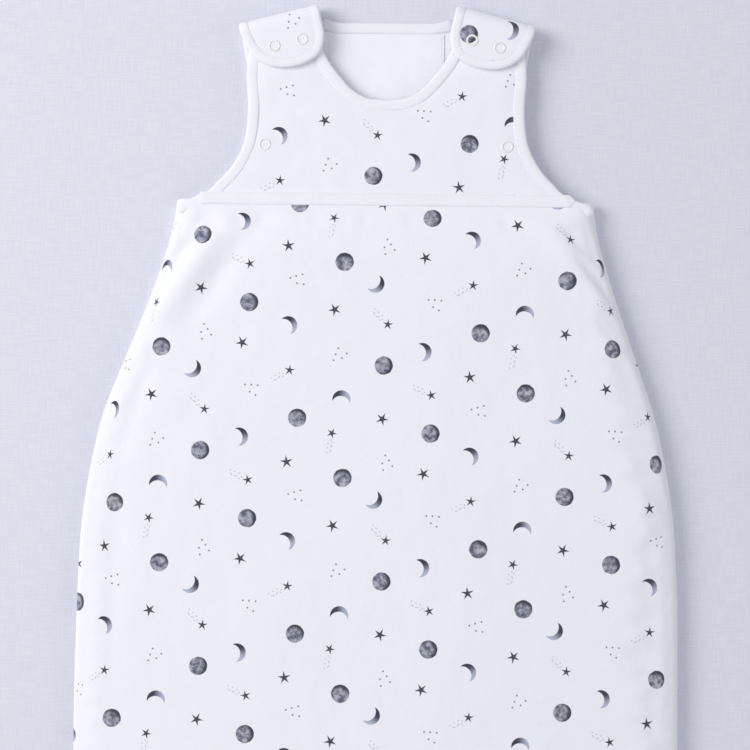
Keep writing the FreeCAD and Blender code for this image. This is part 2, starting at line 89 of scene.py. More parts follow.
BACK_LOW, BACK_TOP = low_high("back_shell", 2)
YOKE_LOW = low_high("front_yoke_lining", 2)[0]
YOKE_TOP = low_high("front_yoke_shell", 2)[1]
SKIRT_TOP = low_high("front_skirt_shell", 2)[1]
LIP = low_high("front_flap_shell", 2)[0]
TAB_LOW, TAB_TOP = low_high("right_tab_lining", 2)[0], low_high("right_tab_shell", 2)[1]
HEM_Y = low_high("back_shell", 1)[0]
HALF_HEM = low_high("back_shell", 0)[1]
WAIST_LOW, WAIST_TOP = low_high("waist_band", 1)
joints = {joint["name"]: joint for joint in frame["joints"]}
ROLL = Vector(joints["right_tab_hinge"]["pos_m"])
ALONG_SHOULDER = -Vector(joints["right_tab_hinge"]["axis"])
HEADWARD = Vector((-ALONG_SHOULDER.y, ALONG_SHOULDER.x, 0))
FOLD_START = Vector(joints["flap_hinge"]["pos_m"])
FOLD_AXIS = Vector(joints["flap_hinge"]["axis"])

# %% [markdown]
# ## Edges of the cloth
#
# A maker's pattern is a handful of points that smooth lines pass through. The right half is enough,
# because the bag is cut on the fold. Each list goes from the head end to the foot end. Arcs would
# need many short pieces here, so a smooth line through few points is the simpler drawing.

# %% Pattern points
ARMHOLE = [(0.1143, 0.4202), (0.113, 0.3899), (0.115, 0.3661), (0.1201, 0.3515), (0.1278, 0.3391),
           (0.1372, 0.3291), (0.1472, 0.3201), (0.172, 0.310)]
FRONT_NECK = [(0.0553, 0.4437), (0.049, 0.4307), (0.0399, 0.4182), (0.0279, 0.4051),
              (0.0148, 0.3981), (0.0, 0.3967)]
BACK_NECK = [(0.0545, 0.4653), (0.0392, 0.4616), (0.0196, 0.4614), (0.0, 0.4614)]
SIDE = [(0.172, 0.310), (0.1764, 0.282), (0.191, 0.234), (0.2085, 0.184), (0.2202, 0.150), (0.2289, 0.118),
        (0.2377, 0.070), (0.2421, 0.022), (0.245, -0.090), (0.245, -0.24)]
SHOULDER_HALF = 0.0335
STRAP_END_BACK, STRAP_END_SHARE, STRAP_END_ROUND = 0.001, 0.7, 0.0035
HEM_CORNER = 0.075
print("pattern points:", sum(len(line) for line in (ARMHOLE, FRONT_NECK, BACK_NECK, SIDE)))


# %% Lines through the points
def smooth(points, step):
    """Even points, one every step, on a smooth line through the given ones."""
    p = np.array(points, float)
    p = np.vstack([2 * p[0] - p[1], p, 2 * p[-1] - p[-2]])
    t = np.linspace(0, 1, 24, endpoint=False)[:, None]
    spans = []
    for a, b, c, d in zip(p, p[1:], p[2:], p[3:]):
        spans.append(0.5 * (2 * b + (c - a) * t + (2 * a - 5 * b + 4 * c - d) * t**2
                            + (3 * b - a - 3 * c + d) * t**3))
    line = np.vstack(spans + [p[-2]])
    return even(line, step)


def even(line, step):
    """The same line with its points spread evenly."""
    run = np.concatenate([[0], np.cumsum(np.linalg.norm(np.diff(line, axis=0), axis=1))])
    count = max(2, int(round(run[-1] / step)) + 1)
    at = np.linspace(0, run[-1], count)
    return np.column_stack([np.interp(at, run, line[:, i]) for i in range(line.shape[1])])


def flipped(line):
    """The line on the bag's other side."""
    return line * np.array([-1.0] + [1.0] * (line.shape[1] - 1))


def directions(line):
    """The way the line runs at each of its points."""
    run = np.gradient(line, axis=0)
    return run / np.linalg.norm(run, axis=1)[:, None]


def rightward(line):
    """The way to the right of the line, at each of its points."""
    run = directions(line)
    return np.column_stack([run[:, 1], -run[:, 0]])


def inside(line, distance):
    """The line moved to its right."""
    return line + distance * rightward(line)


SIDE_LINE = smooth(SIDE, 0.004)
print("side line:", len(SIDE_LINE), "points")


def half_width(y):
    """Half the skirt's width at y, with the foot end's round corners."""
    wide = np.interp(-np.asarray(y), -SIDE_LINE[:, 1], SIDE_LINE[:, 0])
    into = np.clip((HEM_Y + HEM_CORNER - y) / HEM_CORNER, 0, 1)
    return wide - HEM_CORNER * (1 - np.sqrt(1 - into**2))


# %% [markdown]
# ## A sheet laid on a shape
#
# Cloth is a grid of threads, so most pieces start as a grid primitive. The grid's two directions run
# from 0 to 1, and `place` says where each crossing goes. `flat` gives the same crossing's spot on the
# uncut cloth, in metres. It becomes the UV map, so knit and print keep their real size everywhere.
# Unwrapping the finished piece could do the same, but it stretches the knit where the cloth rolls.

# %% Pick a piece, read and write its points
def pick(piece):
    bpy.ops.object.select_all(action="DESELECT")
    piece.select_set(True)
    bpy.context.view_layer.objects.active = piece


def read_points(piece):
    points = np.zeros(len(piece.data.vertices) * 3)
    piece.data.vertices.foreach_get("co", points)
    return points.reshape(-1, 3)


def write_points(piece, points):
    piece.data.vertices.foreach_set("co", np.asarray(points, float).ravel())
    piece.data.update()


def write_flat(piece, flat):
    """Writes each vertex's place on the flat cloth into the UV map."""
    layer = piece.data.uv_layers.get("Cloth") or piece.data.uv_layers.new(name="Cloth")
    index = np.zeros(len(piece.data.loops), int)
    piece.data.loops.foreach_get("vertex_index", index)
    layer.data.foreach_set("uv", np.asarray(flat, float)[index].ravel())


# %% Lay a grid on a shape
def lay_grid(name, columns, rows, place, flat):
    bpy.ops.object.select_all(action="DESELECT")
    bpy.ops.mesh.primitive_grid_add(x_subdivisions=columns, y_subdivisions=rows, size=1)
    piece = bpy.context.object
    piece.name = piece.data.name = name
    uv = read_points(piece)[:, :2] + 0.5
    write_points(piece, place(uv[:, 0], uv[:, 1]))
    piece.data.uv_layers[0].name = "Cloth"
    write_flat(piece, flat(uv[:, 0], uv[:, 1]))
    pick(piece)
    bpy.ops.object.mode_set(mode="EDIT")
    bpy.ops.mesh.select_all(action="SELECT")
    bpy.ops.mesh.remove_doubles(threshold=1e-6)
    bpy.ops.mesh.normals_make_consistent(inside=False)
    bpy.ops.object.mode_set(mode="OBJECT")
    return piece


# %% Modifiers, applied at once
def add_modifier(piece, kind, **settings):
    """Adds a modifier, sets it and applies it."""
    modifier = piece.modifiers.new(kind.title(), kind)
    for key, value in settings.items():
        setattr(modifier, key, value)
    pick(piece)
    bpy.ops.object.modifier_apply(modifier=modifier.name)


CREASE = math.radians(50)


def soften(piece):
    """Smooth shading, with the sharp folds kept sharp."""
    pick(piece)
    bpy.ops.object.shade_smooth_by_angle(angle=CREASE)


def thicken(piece, thickness, lining=0):
    """Gives a sheet its padding below it. A lining slot of 1 colours the inner side."""
    add_modifier(piece, "SOLIDIFY", thickness=thickness, offset=-1, use_rim=True,
                 material_offset=lining, material_offset_rim=lining)


# %% [markdown]
# ## Air in the padding
#
# Wadding pushes the cloth out while the seams hold it, and a cloth simulation does just that. The
# seams are pinned, a light pressure swells the piece for twenty frames without gravity, and no point
# may move further than the wadding allows. The result is applied, so the mesh is plain again.

# %% Cloth simulation helper
FRAMES, PRESSURE = 20, 4.0


def inflate(piece, seams, limit):
    """Swells a closed padded piece. seams marks the points that stitching holds still."""
    before = read_points(piece)
    group = piece.vertex_groups.new(name="Seams")
    group.add(np.flatnonzero(seams(before)).tolist(), 1.0, "REPLACE")
    cloth = piece.modifiers.new("Cloth", "CLOTH")
    cloth.settings.quality = 5
    cloth.settings.mass = 0.2
    cloth.settings.tension_stiffness = cloth.settings.compression_stiffness = 12
    cloth.settings.bending_stiffness = 0.3
    cloth.settings.use_pressure = True
    cloth.settings.uniform_pressure_force = PRESSURE
    cloth.settings.shrink_min = -0.02
    cloth.settings.vertex_group_mass = "Seams"
    cloth.settings.effector_weights.gravity = 0
    scene = bpy.context.scene
    for number in range(1, FRAMES + 1):
        scene.frame_set(number)
    pick(piece)
    bpy.ops.object.modifier_apply(modifier=cloth.name)
    scene.frame_set(1)
    move = read_points(piece) - before
    far = np.maximum(np.linalg.norm(move, axis=1), 1e-9)
    write_points(piece, before + move * np.minimum(1, limit / far)[:, None])
    piece.vertex_groups.clear()
    print(piece.name, "swelled by up to", round(1000 * min(limit, far.max()), 2), "mm")


# %% [markdown]
# ## Knit, print and thread
#
# Baby bags are cut from interlock jersey: fine vertical ribs a little under a millimetre apart, with a
# soft fuzz. Modelled loops would take millions of faces, so the ribs are a wave in the cloth's own
# coordinates, used only as bump. A sheen gives the fuzz.

# %% Cloth material
class Nodes:
    """Short calls for building one material's nodes."""

    def __init__(self, name):
        self.material = bpy.data.materials.new(name)
        self.material.use_nodes = True
        self.tree = self.material.node_tree
        self.shader = self.tree.nodes["Principled BSDF"]

    def add(self, kind, inputs=(), **settings):
        node = self.tree.nodes.new(kind)
        for key, value in settings.items():
            setattr(node, key, value)
        for i, value in enumerate(inputs):
            self.put(value, node.inputs[i])
        return node

    def put(self, value, socket):
        if isinstance(value, bpy.types.NodeSocket):
            self.tree.links.new(value, socket)
        elif value is not None:
            socket.default_value = value

    def math(self, operation, a, b=None, c=None):
        return self.add("ShaderNodeMath", (a, b, c), operation=operation).outputs[0]

    def vector(self, operation, a, b=None):
        node = self.add("ShaderNodeVectorMath", (a, b), operation=operation)
        return node.outputs["Value" if operation in ("LENGTH", "DISTANCE", "DOT_PRODUCT") else "Vector"]

    def ramp(self, value, low, high, start=0.0, end=1.0):
        return self.add("ShaderNodeMapRange", (value, low, high, start, end),
                        interpolation_type="SMOOTHSTEP").outputs[0]

    def noise(self, vector, scale, detail=2.0):
        node = self.add("ShaderNodeTexNoise")
        self.put(vector, node.inputs["Vector"])
        self.put(scale, node.inputs["Scale"])
        self.put(detail, node.inputs["Detail"])
        return node.outputs[0]

    def blend(self, amount, a, b):
        node = self.add("ShaderNodeMix", data_type="RGBA")
        self.put(amount, node.inputs[0])
        self.put(a, node.inputs[6])
        self.put(b, node.inputs[7])
        return node.outputs[2]

    def either(self, amount, a, b):
        node = self.add("ShaderNodeMix", data_type="VECTOR")
        self.put(amount, node.inputs[0])
        self.put(a, node.inputs[4])
        self.put(b, node.inputs[5])
        return node.outputs[1]

    def bump(self, height, distance, strength=1.0):
        node = self.add("ShaderNodeBump")
        self.put(height, node.inputs["Height"])
        self.put(distance, node.inputs["Distance"])
        self.put(strength, node.inputs["Strength"])
        self.put(node.outputs[0], self.shader.inputs["Normal"])

    def settle(self, **settings):
        """Constant values, on the shader's own sockets."""
        for key, value in settings.items():
            self.shader.inputs[key.replace("_", " ")].default_value = value
        return self.material


# %% Jersey
RIB, TRIM_RIB, LOOP_SHARE = 0.00085, 0.0007, 0.8
KNIT_RELIEF, FUZZ_RELIEF, CRUMPLE_RELIEF, RELIEF = 0.22, 1.3, 9.0, 0.00012


def jersey(name, colour, rib=RIB, printed=False):
    nodes = Nodes(name)
    flat = nodes.add("ShaderNodeUVMap", uv_map="Cloth").outputs[0]
    parts = nodes.add("ShaderNodeSeparateXYZ", (flat,))
    ribs = nodes.math("SINE", nodes.math("MULTIPLY", parts.outputs[0], 2 * math.pi / rib))
    loops = nodes.math("SINE", nodes.math("MULTIPLY", parts.outputs[1], 2 * math.pi / (rib * LOOP_SHARE)))
    knit = nodes.math("MULTIPLY_ADD", loops, 0.35, ribs)
    fuzz = nodes.noise(flat, 900.0, 3.0)
    crumple = nodes.noise(flat, 42.0, 3.0)
    height = nodes.math("MULTIPLY_ADD", fuzz, FUZZ_RELIEF, nodes.math("MULTIPLY", knit, KNIT_RELIEF))
    height = nodes.math("MULTIPLY_ADD", crumple, CRUMPLE_RELIEF, height)
    nodes.bump(height, RELIEF, 0.75)
    if printed:
        nodes.put(moon_and_star_print(nodes, flat, colour), nodes.shader.inputs["Base Color"])
    else:
        shade = nodes.ramp(nodes.noise(flat, 30.0), 0.3, 0.7)
        darker = [channel * 0.975 for channel in colour[:3]] + [1]
        nodes.put(nodes.blend(shade, darker, colour), nodes.shader.inputs["Base Color"])
    return nodes.settle(Roughness=0.92, Sheen_Weight=0.25, Sheen_Roughness=0.6, Specular_IOR_Level=0.2)


# %% [markdown]
# ## The print
#
# The print is small moons, crescents, stars and dots. The five kinds stand in a half-drop grid: every
# second column starts half a step on, and each column starts its round of kinds two kinds on, so
# that like motifs never stand side by side. A small wander and a turn by the golden angle hide the
# grid. It could be painted as a picture, but drawing it with nodes keeps it sharp at any distance. For
# each kind the nodes find the nearest home, wrap round the repeat's edge, and draw that one shape from
# the distance and direction to it.

# %% Print layout
KINDS = ("moon", "comet", "crescent", "dots", "star")
COLUMN_STEP, ROW_STEP, COLUMNS = 0.037, 0.035, 4
WANDER = 0.0045
GOLDEN_ANGLE = 137.5
REPEAT = ((COLUMNS * COLUMN_STEP, 2 * ROW_STEP), (0.0, len(KINDS) * ROW_STEP))
MOON_RADIUS, STAR_RADIUS, COMET_STAR_RADIUS = 0.0075, 0.0056, 0.0046


def golden_spots(count, spread):
    """Dots spread evenly over a small round patch."""
    turns = [math.radians(GOLDEN_ANGLE * step) for step in range(count)]
    reach = [spread * math.sqrt((step + 0.5) / count) for step in range(count)]
    return [(far * math.cos(turn), far * math.sin(turn)) for far, turn in zip(reach, turns)]


HOMES = {kind: [] for kind in KINDS}
for number in range(COLUMNS * len(KINDS)):
    column, row = divmod(number, len(KINDS))
    turn = GOLDEN_ANGLE * number
    HOMES[KINDS[(row + 2 * column) % len(KINDS)]].append((
        column * COLUMN_STEP + WANDER * math.sin(math.radians(turn)),
        (row + 0.5 * (column % 2)) * ROW_STEP + WANDER * math.cos(math.radians(3 * turn)), turn))
GROUP_DOTS = golden_spots(5, spread=0.0072)
TRAIL_START, TRAIL_STEP, TRAIL_SWAY = 0.0058, 0.0013, 0.0021
TRAIL_DOTS = [(TRAIL_START + TRAIL_STEP * step, TRAIL_SWAY * math.sin(2.2 * step)) for step in range(9)]
print("motifs in one repeat:", sum(len(homes) for homes in HOMES.values()))


# %% Find a motif's home
def nearest_home(nodes, flat, homes):
    """The vector from the nearest home to this spot of cloth, turned with that home's motif."""
    (ax, ay), (bx, by) = REPEAT
    area = ax * by - ay * bx
    best = shortest = None
    for x, y, turn in homes:
        offset = nodes.vector("SUBTRACT", flat, (x, y, 0))
        along = nodes.vector("DOT_PRODUCT", offset, (by / area, -bx / area, 0))
        up = nodes.vector("DOT_PRODUCT", offset, (-ay / area, ax / area, 0))
        pair = nodes.add("ShaderNodeCombineXYZ", (along, up)).outputs[0]
        whole = nodes.vector("FLOOR", nodes.vector("ADD", pair, (0.5, 0.5, 0)))
        rest = nodes.add("ShaderNodeSeparateXYZ", (nodes.vector("SUBTRACT", pair, whole),))
        first = nodes.add("ShaderNodeVectorMath", ((ax, ay, 0),), operation="SCALE")
        second = nodes.add("ShaderNodeVectorMath", ((bx, by, 0),), operation="SCALE")
        nodes.put(rest.outputs[0], first.inputs["Scale"])
        nodes.put(rest.outputs[1], second.inputs["Scale"])
        local = nodes.vector("ADD", first.outputs[0], second.outputs[0])
        turned = nodes.add("ShaderNodeVectorRotate", rotation_type="Z_AXIS")
        nodes.put(local, turned.inputs["Vector"])
        nodes.put(-math.radians(turn), turned.inputs["Angle"])
        length = nodes.vector("LENGTH", local)
        if best is None:
            best, shortest = turned.outputs[0], length
            continue
        nearer = nodes.math("LESS_THAN", length, shortest)
        best = nodes.either(nearer, best, turned.outputs[0])
        shortest = nodes.math("MINIMUM", length, shortest)
    return best


# %% Stars and dots
STAR_POINTS, STAR_WAIST, STAR_BLUR = 5, 0.31, 0.0002


def star_mask(nodes, local, radius):
    """A five-pointed star: the angle is folded into one half point, which is a single slanting edge."""
    half_point = math.pi / STAR_POINTS
    parts = nodes.add("ShaderNodeSeparateXYZ", (local,))
    angle = nodes.math("ARCTAN2", parts.outputs[0], parts.outputs[1])
    folded = nodes.math("ABSOLUTE", nodes.math("WRAP", angle, half_point, -half_point))
    size = nodes.vector("LENGTH", local)
    valley = radius * STAR_WAIST
    edge = Vector((radius - valley * math.cos(half_point), -valley * math.sin(half_point)))
    way = Vector((-edge.y, edge.x)).normalized()
    x = nodes.math("MULTIPLY", size, nodes.math("COSINE", folded))
    y = nodes.math("MULTIPLY", size, nodes.math("SINE", folded))
    reach = nodes.math("ADD", nodes.math("MULTIPLY", x, way.x), nodes.math("MULTIPLY", y, way.y))
    return nodes.ramp(reach, radius * way.x - STAR_BLUR, radius * way.x + STAR_BLUR, 1.0, 0.0)


def dots_mask(nodes, local, dots, radius):
    closest = None
    for x, y in dots:
        gap = nodes.vector("DISTANCE", local, (x, y, 0))
        closest = gap if closest is None else nodes.math("MINIMUM", closest, gap)
    return nodes.ramp(closest, radius * 0.6, radius * 1.3, 1.0, 0.0)


# %% Draw the print
MOON_BLUR, MOON_WOBBLE, BRIGHT_SIDE, LIMB = 0.0007, 0.0009, (-0.0034, 0.0006, 0), (0.0085, 0.0118)
CRESCENT_RADIUS, CRESCENT_MIDDLE, BITE_MIDDLE = 0.0072, (-0.0022, -0.0028, 0), (-0.0056, -0.0060, 0)
FADE_WAY, FADE_RUN = (0.75, -0.66, 0), (-0.001, 0.0085)
GROUP_DOT, TRAIL_DOT, FAINT = 0.0008, 0.0006, 0.85
INK = (0.045, 0.048, 0.075, 1)
SLATE = (0.13, 0.14, 0.20, 1)
PALE_BLUE = (0.45, 0.49, 0.62, 1)
DARK_SLATE = (0.105, 0.115, 0.165, 1)
MOON_GREY = (0.46, 0.48, 0.56, 1)


def moon_and_star_print(nodes, flat, ground):
    mottle = nodes.noise(flat, 900.0, 5.0)
    moon = nearest_home(nodes, flat, HOMES["moon"])
    wobble = nodes.math("MULTIPLY_ADD", nodes.noise(flat, 260.0), MOON_WOBBLE, nodes.vector("LENGTH", moon))
    disc = nodes.ramp(wobble, MOON_RADIUS, MOON_RADIUS + MOON_BLUR, 1.0, 0.0)
    limb = nodes.vector("DISTANCE", moon, BRIGHT_SIDE)
    limb = nodes.ramp(nodes.math("MULTIPLY_ADD", mottle, 0.0045, limb), *LIMB)
    stain = nodes.math("MULTIPLY", mottle, 0.45)
    blotch = nodes.math("MULTIPLY_ADD", nodes.noise(flat, 210.0, 1.0), 0.6, stain)
    body = nodes.blend(nodes.ramp(blotch, 0.40, 0.66), DARK_SLATE, MOON_GREY)
    colour = nodes.blend(disc, ground, nodes.blend(limb, body, INK))

    crescent = nearest_home(nodes, flat, HOMES["crescent"])
    outer = nodes.vector("DISTANCE", crescent, CRESCENT_MIDDLE)
    outer = nodes.ramp(outer, CRESCENT_RADIUS, CRESCENT_RADIUS + 0.0004, 1.0, 0.0)
    bite = nodes.vector("DISTANCE", crescent, BITE_MIDDLE)
    bite = nodes.ramp(bite, CRESCENT_RADIUS, CRESCENT_RADIUS + 0.0006)
    sickle = nodes.math("MULTIPLY", outer, bite)
    down = nodes.vector("DOT_PRODUCT", crescent, FADE_WAY)
    fade = nodes.ramp(nodes.math("MULTIPLY_ADD", mottle, 0.004, down), *FADE_RUN)
    colour = nodes.blend(sickle, colour, nodes.blend(fade, INK, PALE_BLUE))

    star = star_mask(nodes, nearest_home(nodes, flat, HOMES["star"]), STAR_RADIUS)
    comet = nearest_home(nodes, flat, HOMES["comet"])
    small = star_mask(nodes, comet, COMET_STAR_RADIUS)
    worn = nodes.ramp(mottle, 0.2, 0.5, 0.72, 1.0)
    stars = nodes.math("MULTIPLY", nodes.math("MAXIMUM", star, small), worn)
    colour = nodes.blend(stars, colour, INK)
    trail = nodes.math("MULTIPLY", dots_mask(nodes, comet, TRAIL_DOTS, TRAIL_DOT), FAINT)
    colour = nodes.blend(trail, colour, PALE_BLUE)
    group = dots_mask(nodes, nearest_home(nodes, flat, HOMES["dots"]), GROUP_DOTS, GROUP_DOT)
    return nodes.blend(nodes.math("MULTIPLY", group, FAINT), colour, SLATE)


# %% [markdown]
# ## The cloths
#
# One knit serves the whole bag: printed outside, plain for the lining, and in finer ribs for the
# bindings. One function makes all three, because they differ only in colour, print and rib.

# %% Make the cloths
GROUND = (0.865, 0.88, 0.94, 1)
PLAIN = (0.90, 0.91, 0.975, 1)
TRIM = (0.88, 0.89, 0.945, 1)
PRINTED = jersey("printed_jersey", GROUND, printed=True)
LINING = jersey("lining_jersey", PLAIN)
BINDING = jersey("binding_jersey", TRIM, rib=TRIM_RIB)
print("print nodes:", len(PRINTED.node_tree.nodes))

# %% [markdown]
# ## Other finishes
#
# Thread is a matte twist, the snaps are cream enamel on metal, and the zip is moulded plastic on a
# woven tape with a painted slider. Plain colours would do from afar. A fine grain in bump, roughness
# and colour keeps each of them from looking like new plastic from close by.

# %% Small materials
def grained(name, colour, roughness, grain, depth, **settings):
    """A finish with fine grain in its bump and a little of it in its roughness."""
    nodes = Nodes(name)
    place = nodes.add("ShaderNodeTexCoord").outputs["Object"]
    speck = nodes.noise(place, grain, 3.0)
    nodes.bump(speck, depth, 0.6)
    nodes.put(nodes.ramp(speck, 0.2, 0.8, roughness * 0.85, min(1.0, roughness * 1.15)),
              nodes.shader.inputs["Roughness"])
    darker = [channel * 0.93 for channel in colour[:3]] + [1]
    nodes.put(nodes.blend(nodes.ramp(nodes.noise(place, grain / 6), 0.35, 0.65), darker, colour),
              nodes.shader.inputs["Base Color"])
    return nodes.settle(**settings)


THREAD = grained("sewing_thread", (0.83, 0.84, 0.90, 1), 0.8, 4000.0, 0.00008, Sheen_Weight=0.2)
ENAMEL = grained("snap_enamel", (0.87, 0.88, 0.865, 1), 0.3, 900.0, 0.00001, Coat_Weight=0.5)
TAPE = grained("zip_tape", (0.80, 0.81, 0.86, 1), 0.85, 2500.0, 0.00012, Sheen_Weight=0.15)
TEETH = grained("zip_plastic", (0.84, 0.85, 0.89, 1), 0.35, 1200.0, 0.00002, Specular_IOR_Level=0.45)
SLIDER_PAINT = grained("slider_paint", (0.82, 0.83, 0.86, 1), 0.28, 1500.0, 0.00001, Coat_Weight=0.35)


def dress(piece, *materials):
    piece.data.materials.clear()
    for material in materials:
        piece.data.materials.append(material)


def settle_piece(piece, body, nodes=()):
    """Puts a finished piece on the body it moves with and hides the technical parts it stands for."""
    if body:
        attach(piece, body)
    if nodes:
        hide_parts(*nodes)
    print(piece.name, len(piece.data.polygons), "faces")


# %% [markdown]
# ## The front
#
# The skirt is one wide quilted panel from the waist seam to the foot. Air and wadding lift it, and it
# rolls down to the seam on the right and to the zip on the left and along the foot. A blown-up block
# would lose the roll at the seams, so a grid follows the outline row by row. Its height is a
# quarter-round at the edge and a gentle crown inside.

# %% Front skirt
EDGE_ROLL = 0.020
ROLL_EXTRA = 0.010  # how much more cloth the rolled edge takes than it seems to from above
SKIRT_LAYER = 0.0042
SKIRT_CROWN = 0.0024
SEAM_HIGH = BACK_TOP + 0.0004
ZIP_START_Y = low_high("front_flap_shell", 1)[1]
ZIP_END_X = low_high("zip_top_stops", 0)[1]
BULGE = 0.0088  # how far the loose zipped side rolls out over its zip
LOOSE_TOP, LOOSE_RUN, LOOSE_FOOT, LOOSE_FOOT_RUN = 0.270, 0.13, 0.03, 0.10  # where it is loose
LIP_RUN = 0.010  # length over which the edge climbs from the seam to the zip's lip
WAIST_RISE = 0.045  # length over which the skirt rises from the waist
CROWN_SIDE, CROWN_FOOT = 0.16, 0.12
EDGE_TRIM = 0.0003
CROWDED, ROUND, CROWN_ROUND = 1.35, 2.4, 0.6  # threads towards the sides, the roll and the crown
SKIRT_GRID = (84, 132)


def edge_height(x, y):
    """How high the panel's edge ends: on the zip's lip, or down at the seam where there is no zip."""
    beyond = np.where(x < 0, ZIP_START_Y - y, ZIP_END_X - x)
    share = np.clip(beyond / LIP_RUN, 0, 1)
    return SEAM_HIGH + (LIP - SEAM_HIGH) * share * share * (3 - 2 * share)


SKIRT_START = WAIST_LOW + 0.005  # tucked under the waist band
WAIST_TOP_Z = YOKE_TOP + 0.0005


# %% Shape the skirt
def skirt_rows(v):
    return SKIRT_START + (HEM_Y + EDGE_TRIM - SKIRT_START) * v


def skirt_place(u, v):
    y = skirt_rows(v)
    bow = np.sign(u - 0.5) * (1 - (1 - np.abs(2 * u - 1)) ** CROWDED)
    half = half_width(y) - EDGE_TRIM
    x = bow * half
    side = half - np.abs(x)
    foot = y - HEM_Y
    gap = np.minimum(side, foot)
    rolled = np.clip(gap / EDGE_ROLL, 0, 1)
    rise = np.sqrt(1 - (1 - rolled) ** ROUND)
    waist = np.clip((WAIST_LOW - y) / WAIST_RISE, 0, 1)
    top = WAIST_TOP_Z + (SKIRT_TOP - WAIST_TOP_Z) * np.sin(waist * math.pi / 2)
    crown = SKIRT_CROWN * np.clip(side / CROWN_SIDE, 0, 1) ** CROWN_ROUND * waist
    crown *= np.clip(foot / CROWN_FOOT, 0, 1)
    low = edge_height(x, y)
    loose = (x < 0) * np.clip((LOOSE_TOP - y) / LOOSE_RUN, 0, 1)
    loose *= np.clip((foot - LOOSE_FOOT) / LOOSE_FOOT_RUN, 0, 1)
    bend = np.clip(side / EDGE_ROLL, 0, 1) ** 0.5
    x = x - BULGE * 4 * bend * (1 - bend) * loose
    return np.column_stack([x, y, low + (top + crown - low) * rise])


def skirt_flat(u, v):
    """Cloth coordinates: the roll at the edge is longer than it looks from above."""
    points = skirt_place(u, v)
    side = half_width(points[:, 1]) - np.abs(points[:, 0])
    gaps = np.column_stack([side, points[:, 1] - HEM_Y])
    extra = ROLL_EXTRA * np.clip(1 - gaps / EDGE_ROLL, 0, 1) ** 2
    return points[:, :2] + extra * np.column_stack([np.sign(points[:, 0]), -np.ones(len(points))])


front = lay_grid("front_skirt", *SKIRT_GRID, skirt_place, skirt_flat)
print("front skirt laid:", len(front.data.vertices), "points")

# %% [markdown]
# ## Folds in the skirt
#
# Cloth that is pulled to one side lies in a few long soft folds, most of them below the zipped arm. A
# simulation of the whole bag would find others each time it is changed. A short list of straight
# folds with a rounded section keeps them where they belong, and a little noise breaks the rest.

# %% Fold it
CALM, SEAM_WIDTH, SKIRT_SWELL = 0.012, 0.007, 0.0019  # no folds, pinned, and how far the rest swells
WAVE, WAVE_SIZE, PUCKER, PUCKER_SIZE = 0.0016, 0.11, 0.0003, 0.028
SOFT_FOLDS = [  # start, end, height, half width of the fold
    ((-0.150, 0.296), (-0.188, 0.236), -0.0026, 0.008),
    ((-0.128, 0.300), (-0.178, 0.222), 0.0028, 0.010),
    ((-0.104, 0.296), (-0.160, 0.214), -0.0024, 0.010),
    ((-0.186, 0.200), (-0.214, 0.110), -0.0020, 0.009),
    ((-0.214, 0.110), (-0.222, -0.060), -0.0014, 0.010),
    ((0.130, 0.298), (0.172, 0.236), 0.0012, 0.009),
]


FOLD_PAST = 0.15  # how far a fold fades out past its ends, as a share of its length


def fold_height(points):
    height = np.zeros(len(points))
    for start, end, rise, half in SOFT_FOLDS:
        a, b = np.array(start), np.array(end)
        run = b - a
        t = np.clip((points[:, :2] - a) @ run / (run @ run), -FOLD_PAST, 1 + FOLD_PAST)
        gap = np.linalg.norm(points[:, :2] - (a + t[:, None] * run), axis=1)
        fade = np.clip(1 - np.abs(t - 0.5) / (0.5 + FOLD_PAST), 0, 1) ** 0.7
        height += rise * fade * np.exp(-((gap / half) ** 2))
    return height


def ripple(points, size, seed):
    return np.array([noise.noise(Vector((x / size, y / size, seed))) for x, y, z in points])


# %% Pad the skirt
def from_seams(points):
    """Distance to the nearest seam or edge of the skirt."""
    side = half_width(points[:, 1]) - np.abs(points[:, 0])
    return np.minimum(side, np.minimum(WAIST_LOW - points[:, 1], points[:, 1] - HEM_Y))


def blend_flap(piece):
    """Bakes the piece's transform into its mesh."""
    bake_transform(piece)


points = read_points(front)
calm = np.clip(from_seams(points) / CALM, 0, 1)
points[:, 2] += calm * (fold_height(points) + WAVE * ripple(points, WAVE_SIZE, 3.0))
write_points(front, points)
dress(front, PRINTED, LINING)
thicken(front, SKIRT_LAYER, lining=1)
inflate(front, lambda points: from_seams(points) < SEAM_WIDTH, SKIRT_SWELL)
add_modifier(front, "SUBSURF", levels=1, render_levels=1)
points = read_points(front)
points[:, 2] += np.clip(from_seams(points) / CALM, 0, 1) * PUCKER * ripple(points, PUCKER_SIZE, 8.0)
write_points(front, points)
soften(front)
settle_piece(front, None,
             [f"front_{part}_{layer}" for part in ("skirt", "flap")
              for layer in ("shell", "wadding", "side_wadding", "lining")])
blend_flap(front)

# %% [markdown]
# ## The yoke
#
# The yoke is a U of quilted cloth between the neck and the two armholes. One grid bent round the neck
# would crowd its threads there, so each half is a grid whose rows run from the middle or the neck's
# edge out to the armhole. The halves are joined in the middle.

# %% Edges of the yoke
def strap_end(side):
    """The rounded end of the right front strap, from its middle to one side."""
    middle = ROLL - HEADWARD * STRAP_END_BACK
    turn = middle + ALONG_SHOULDER * (side * STRAP_END_SHARE * SHOULDER_HALF) - HEADWARD * STRAP_END_ROUND
    return [middle.to_2d()[:], turn.to_2d()[:]]


def mirror_join(right_half):
    """A line from the left strap to the right one, from its right half that ends in the middle."""
    return np.vstack([flipped(right_half), right_half[::-1][1:]])


NECK_LINE = mirror_join(smooth(strap_end(-1) + FRONT_NECK, 0.003))
ARMHOLE_LINE = smooth(strap_end(1) + ARMHOLE, 0.003)
ARMHOLE_START_X = 0.105  # the strap's end is inside this, the armhole outside
SHOULDER_SLOPE = math.atan2(-ALONG_SHOULDER.y, ALONG_SHOULDER.x)


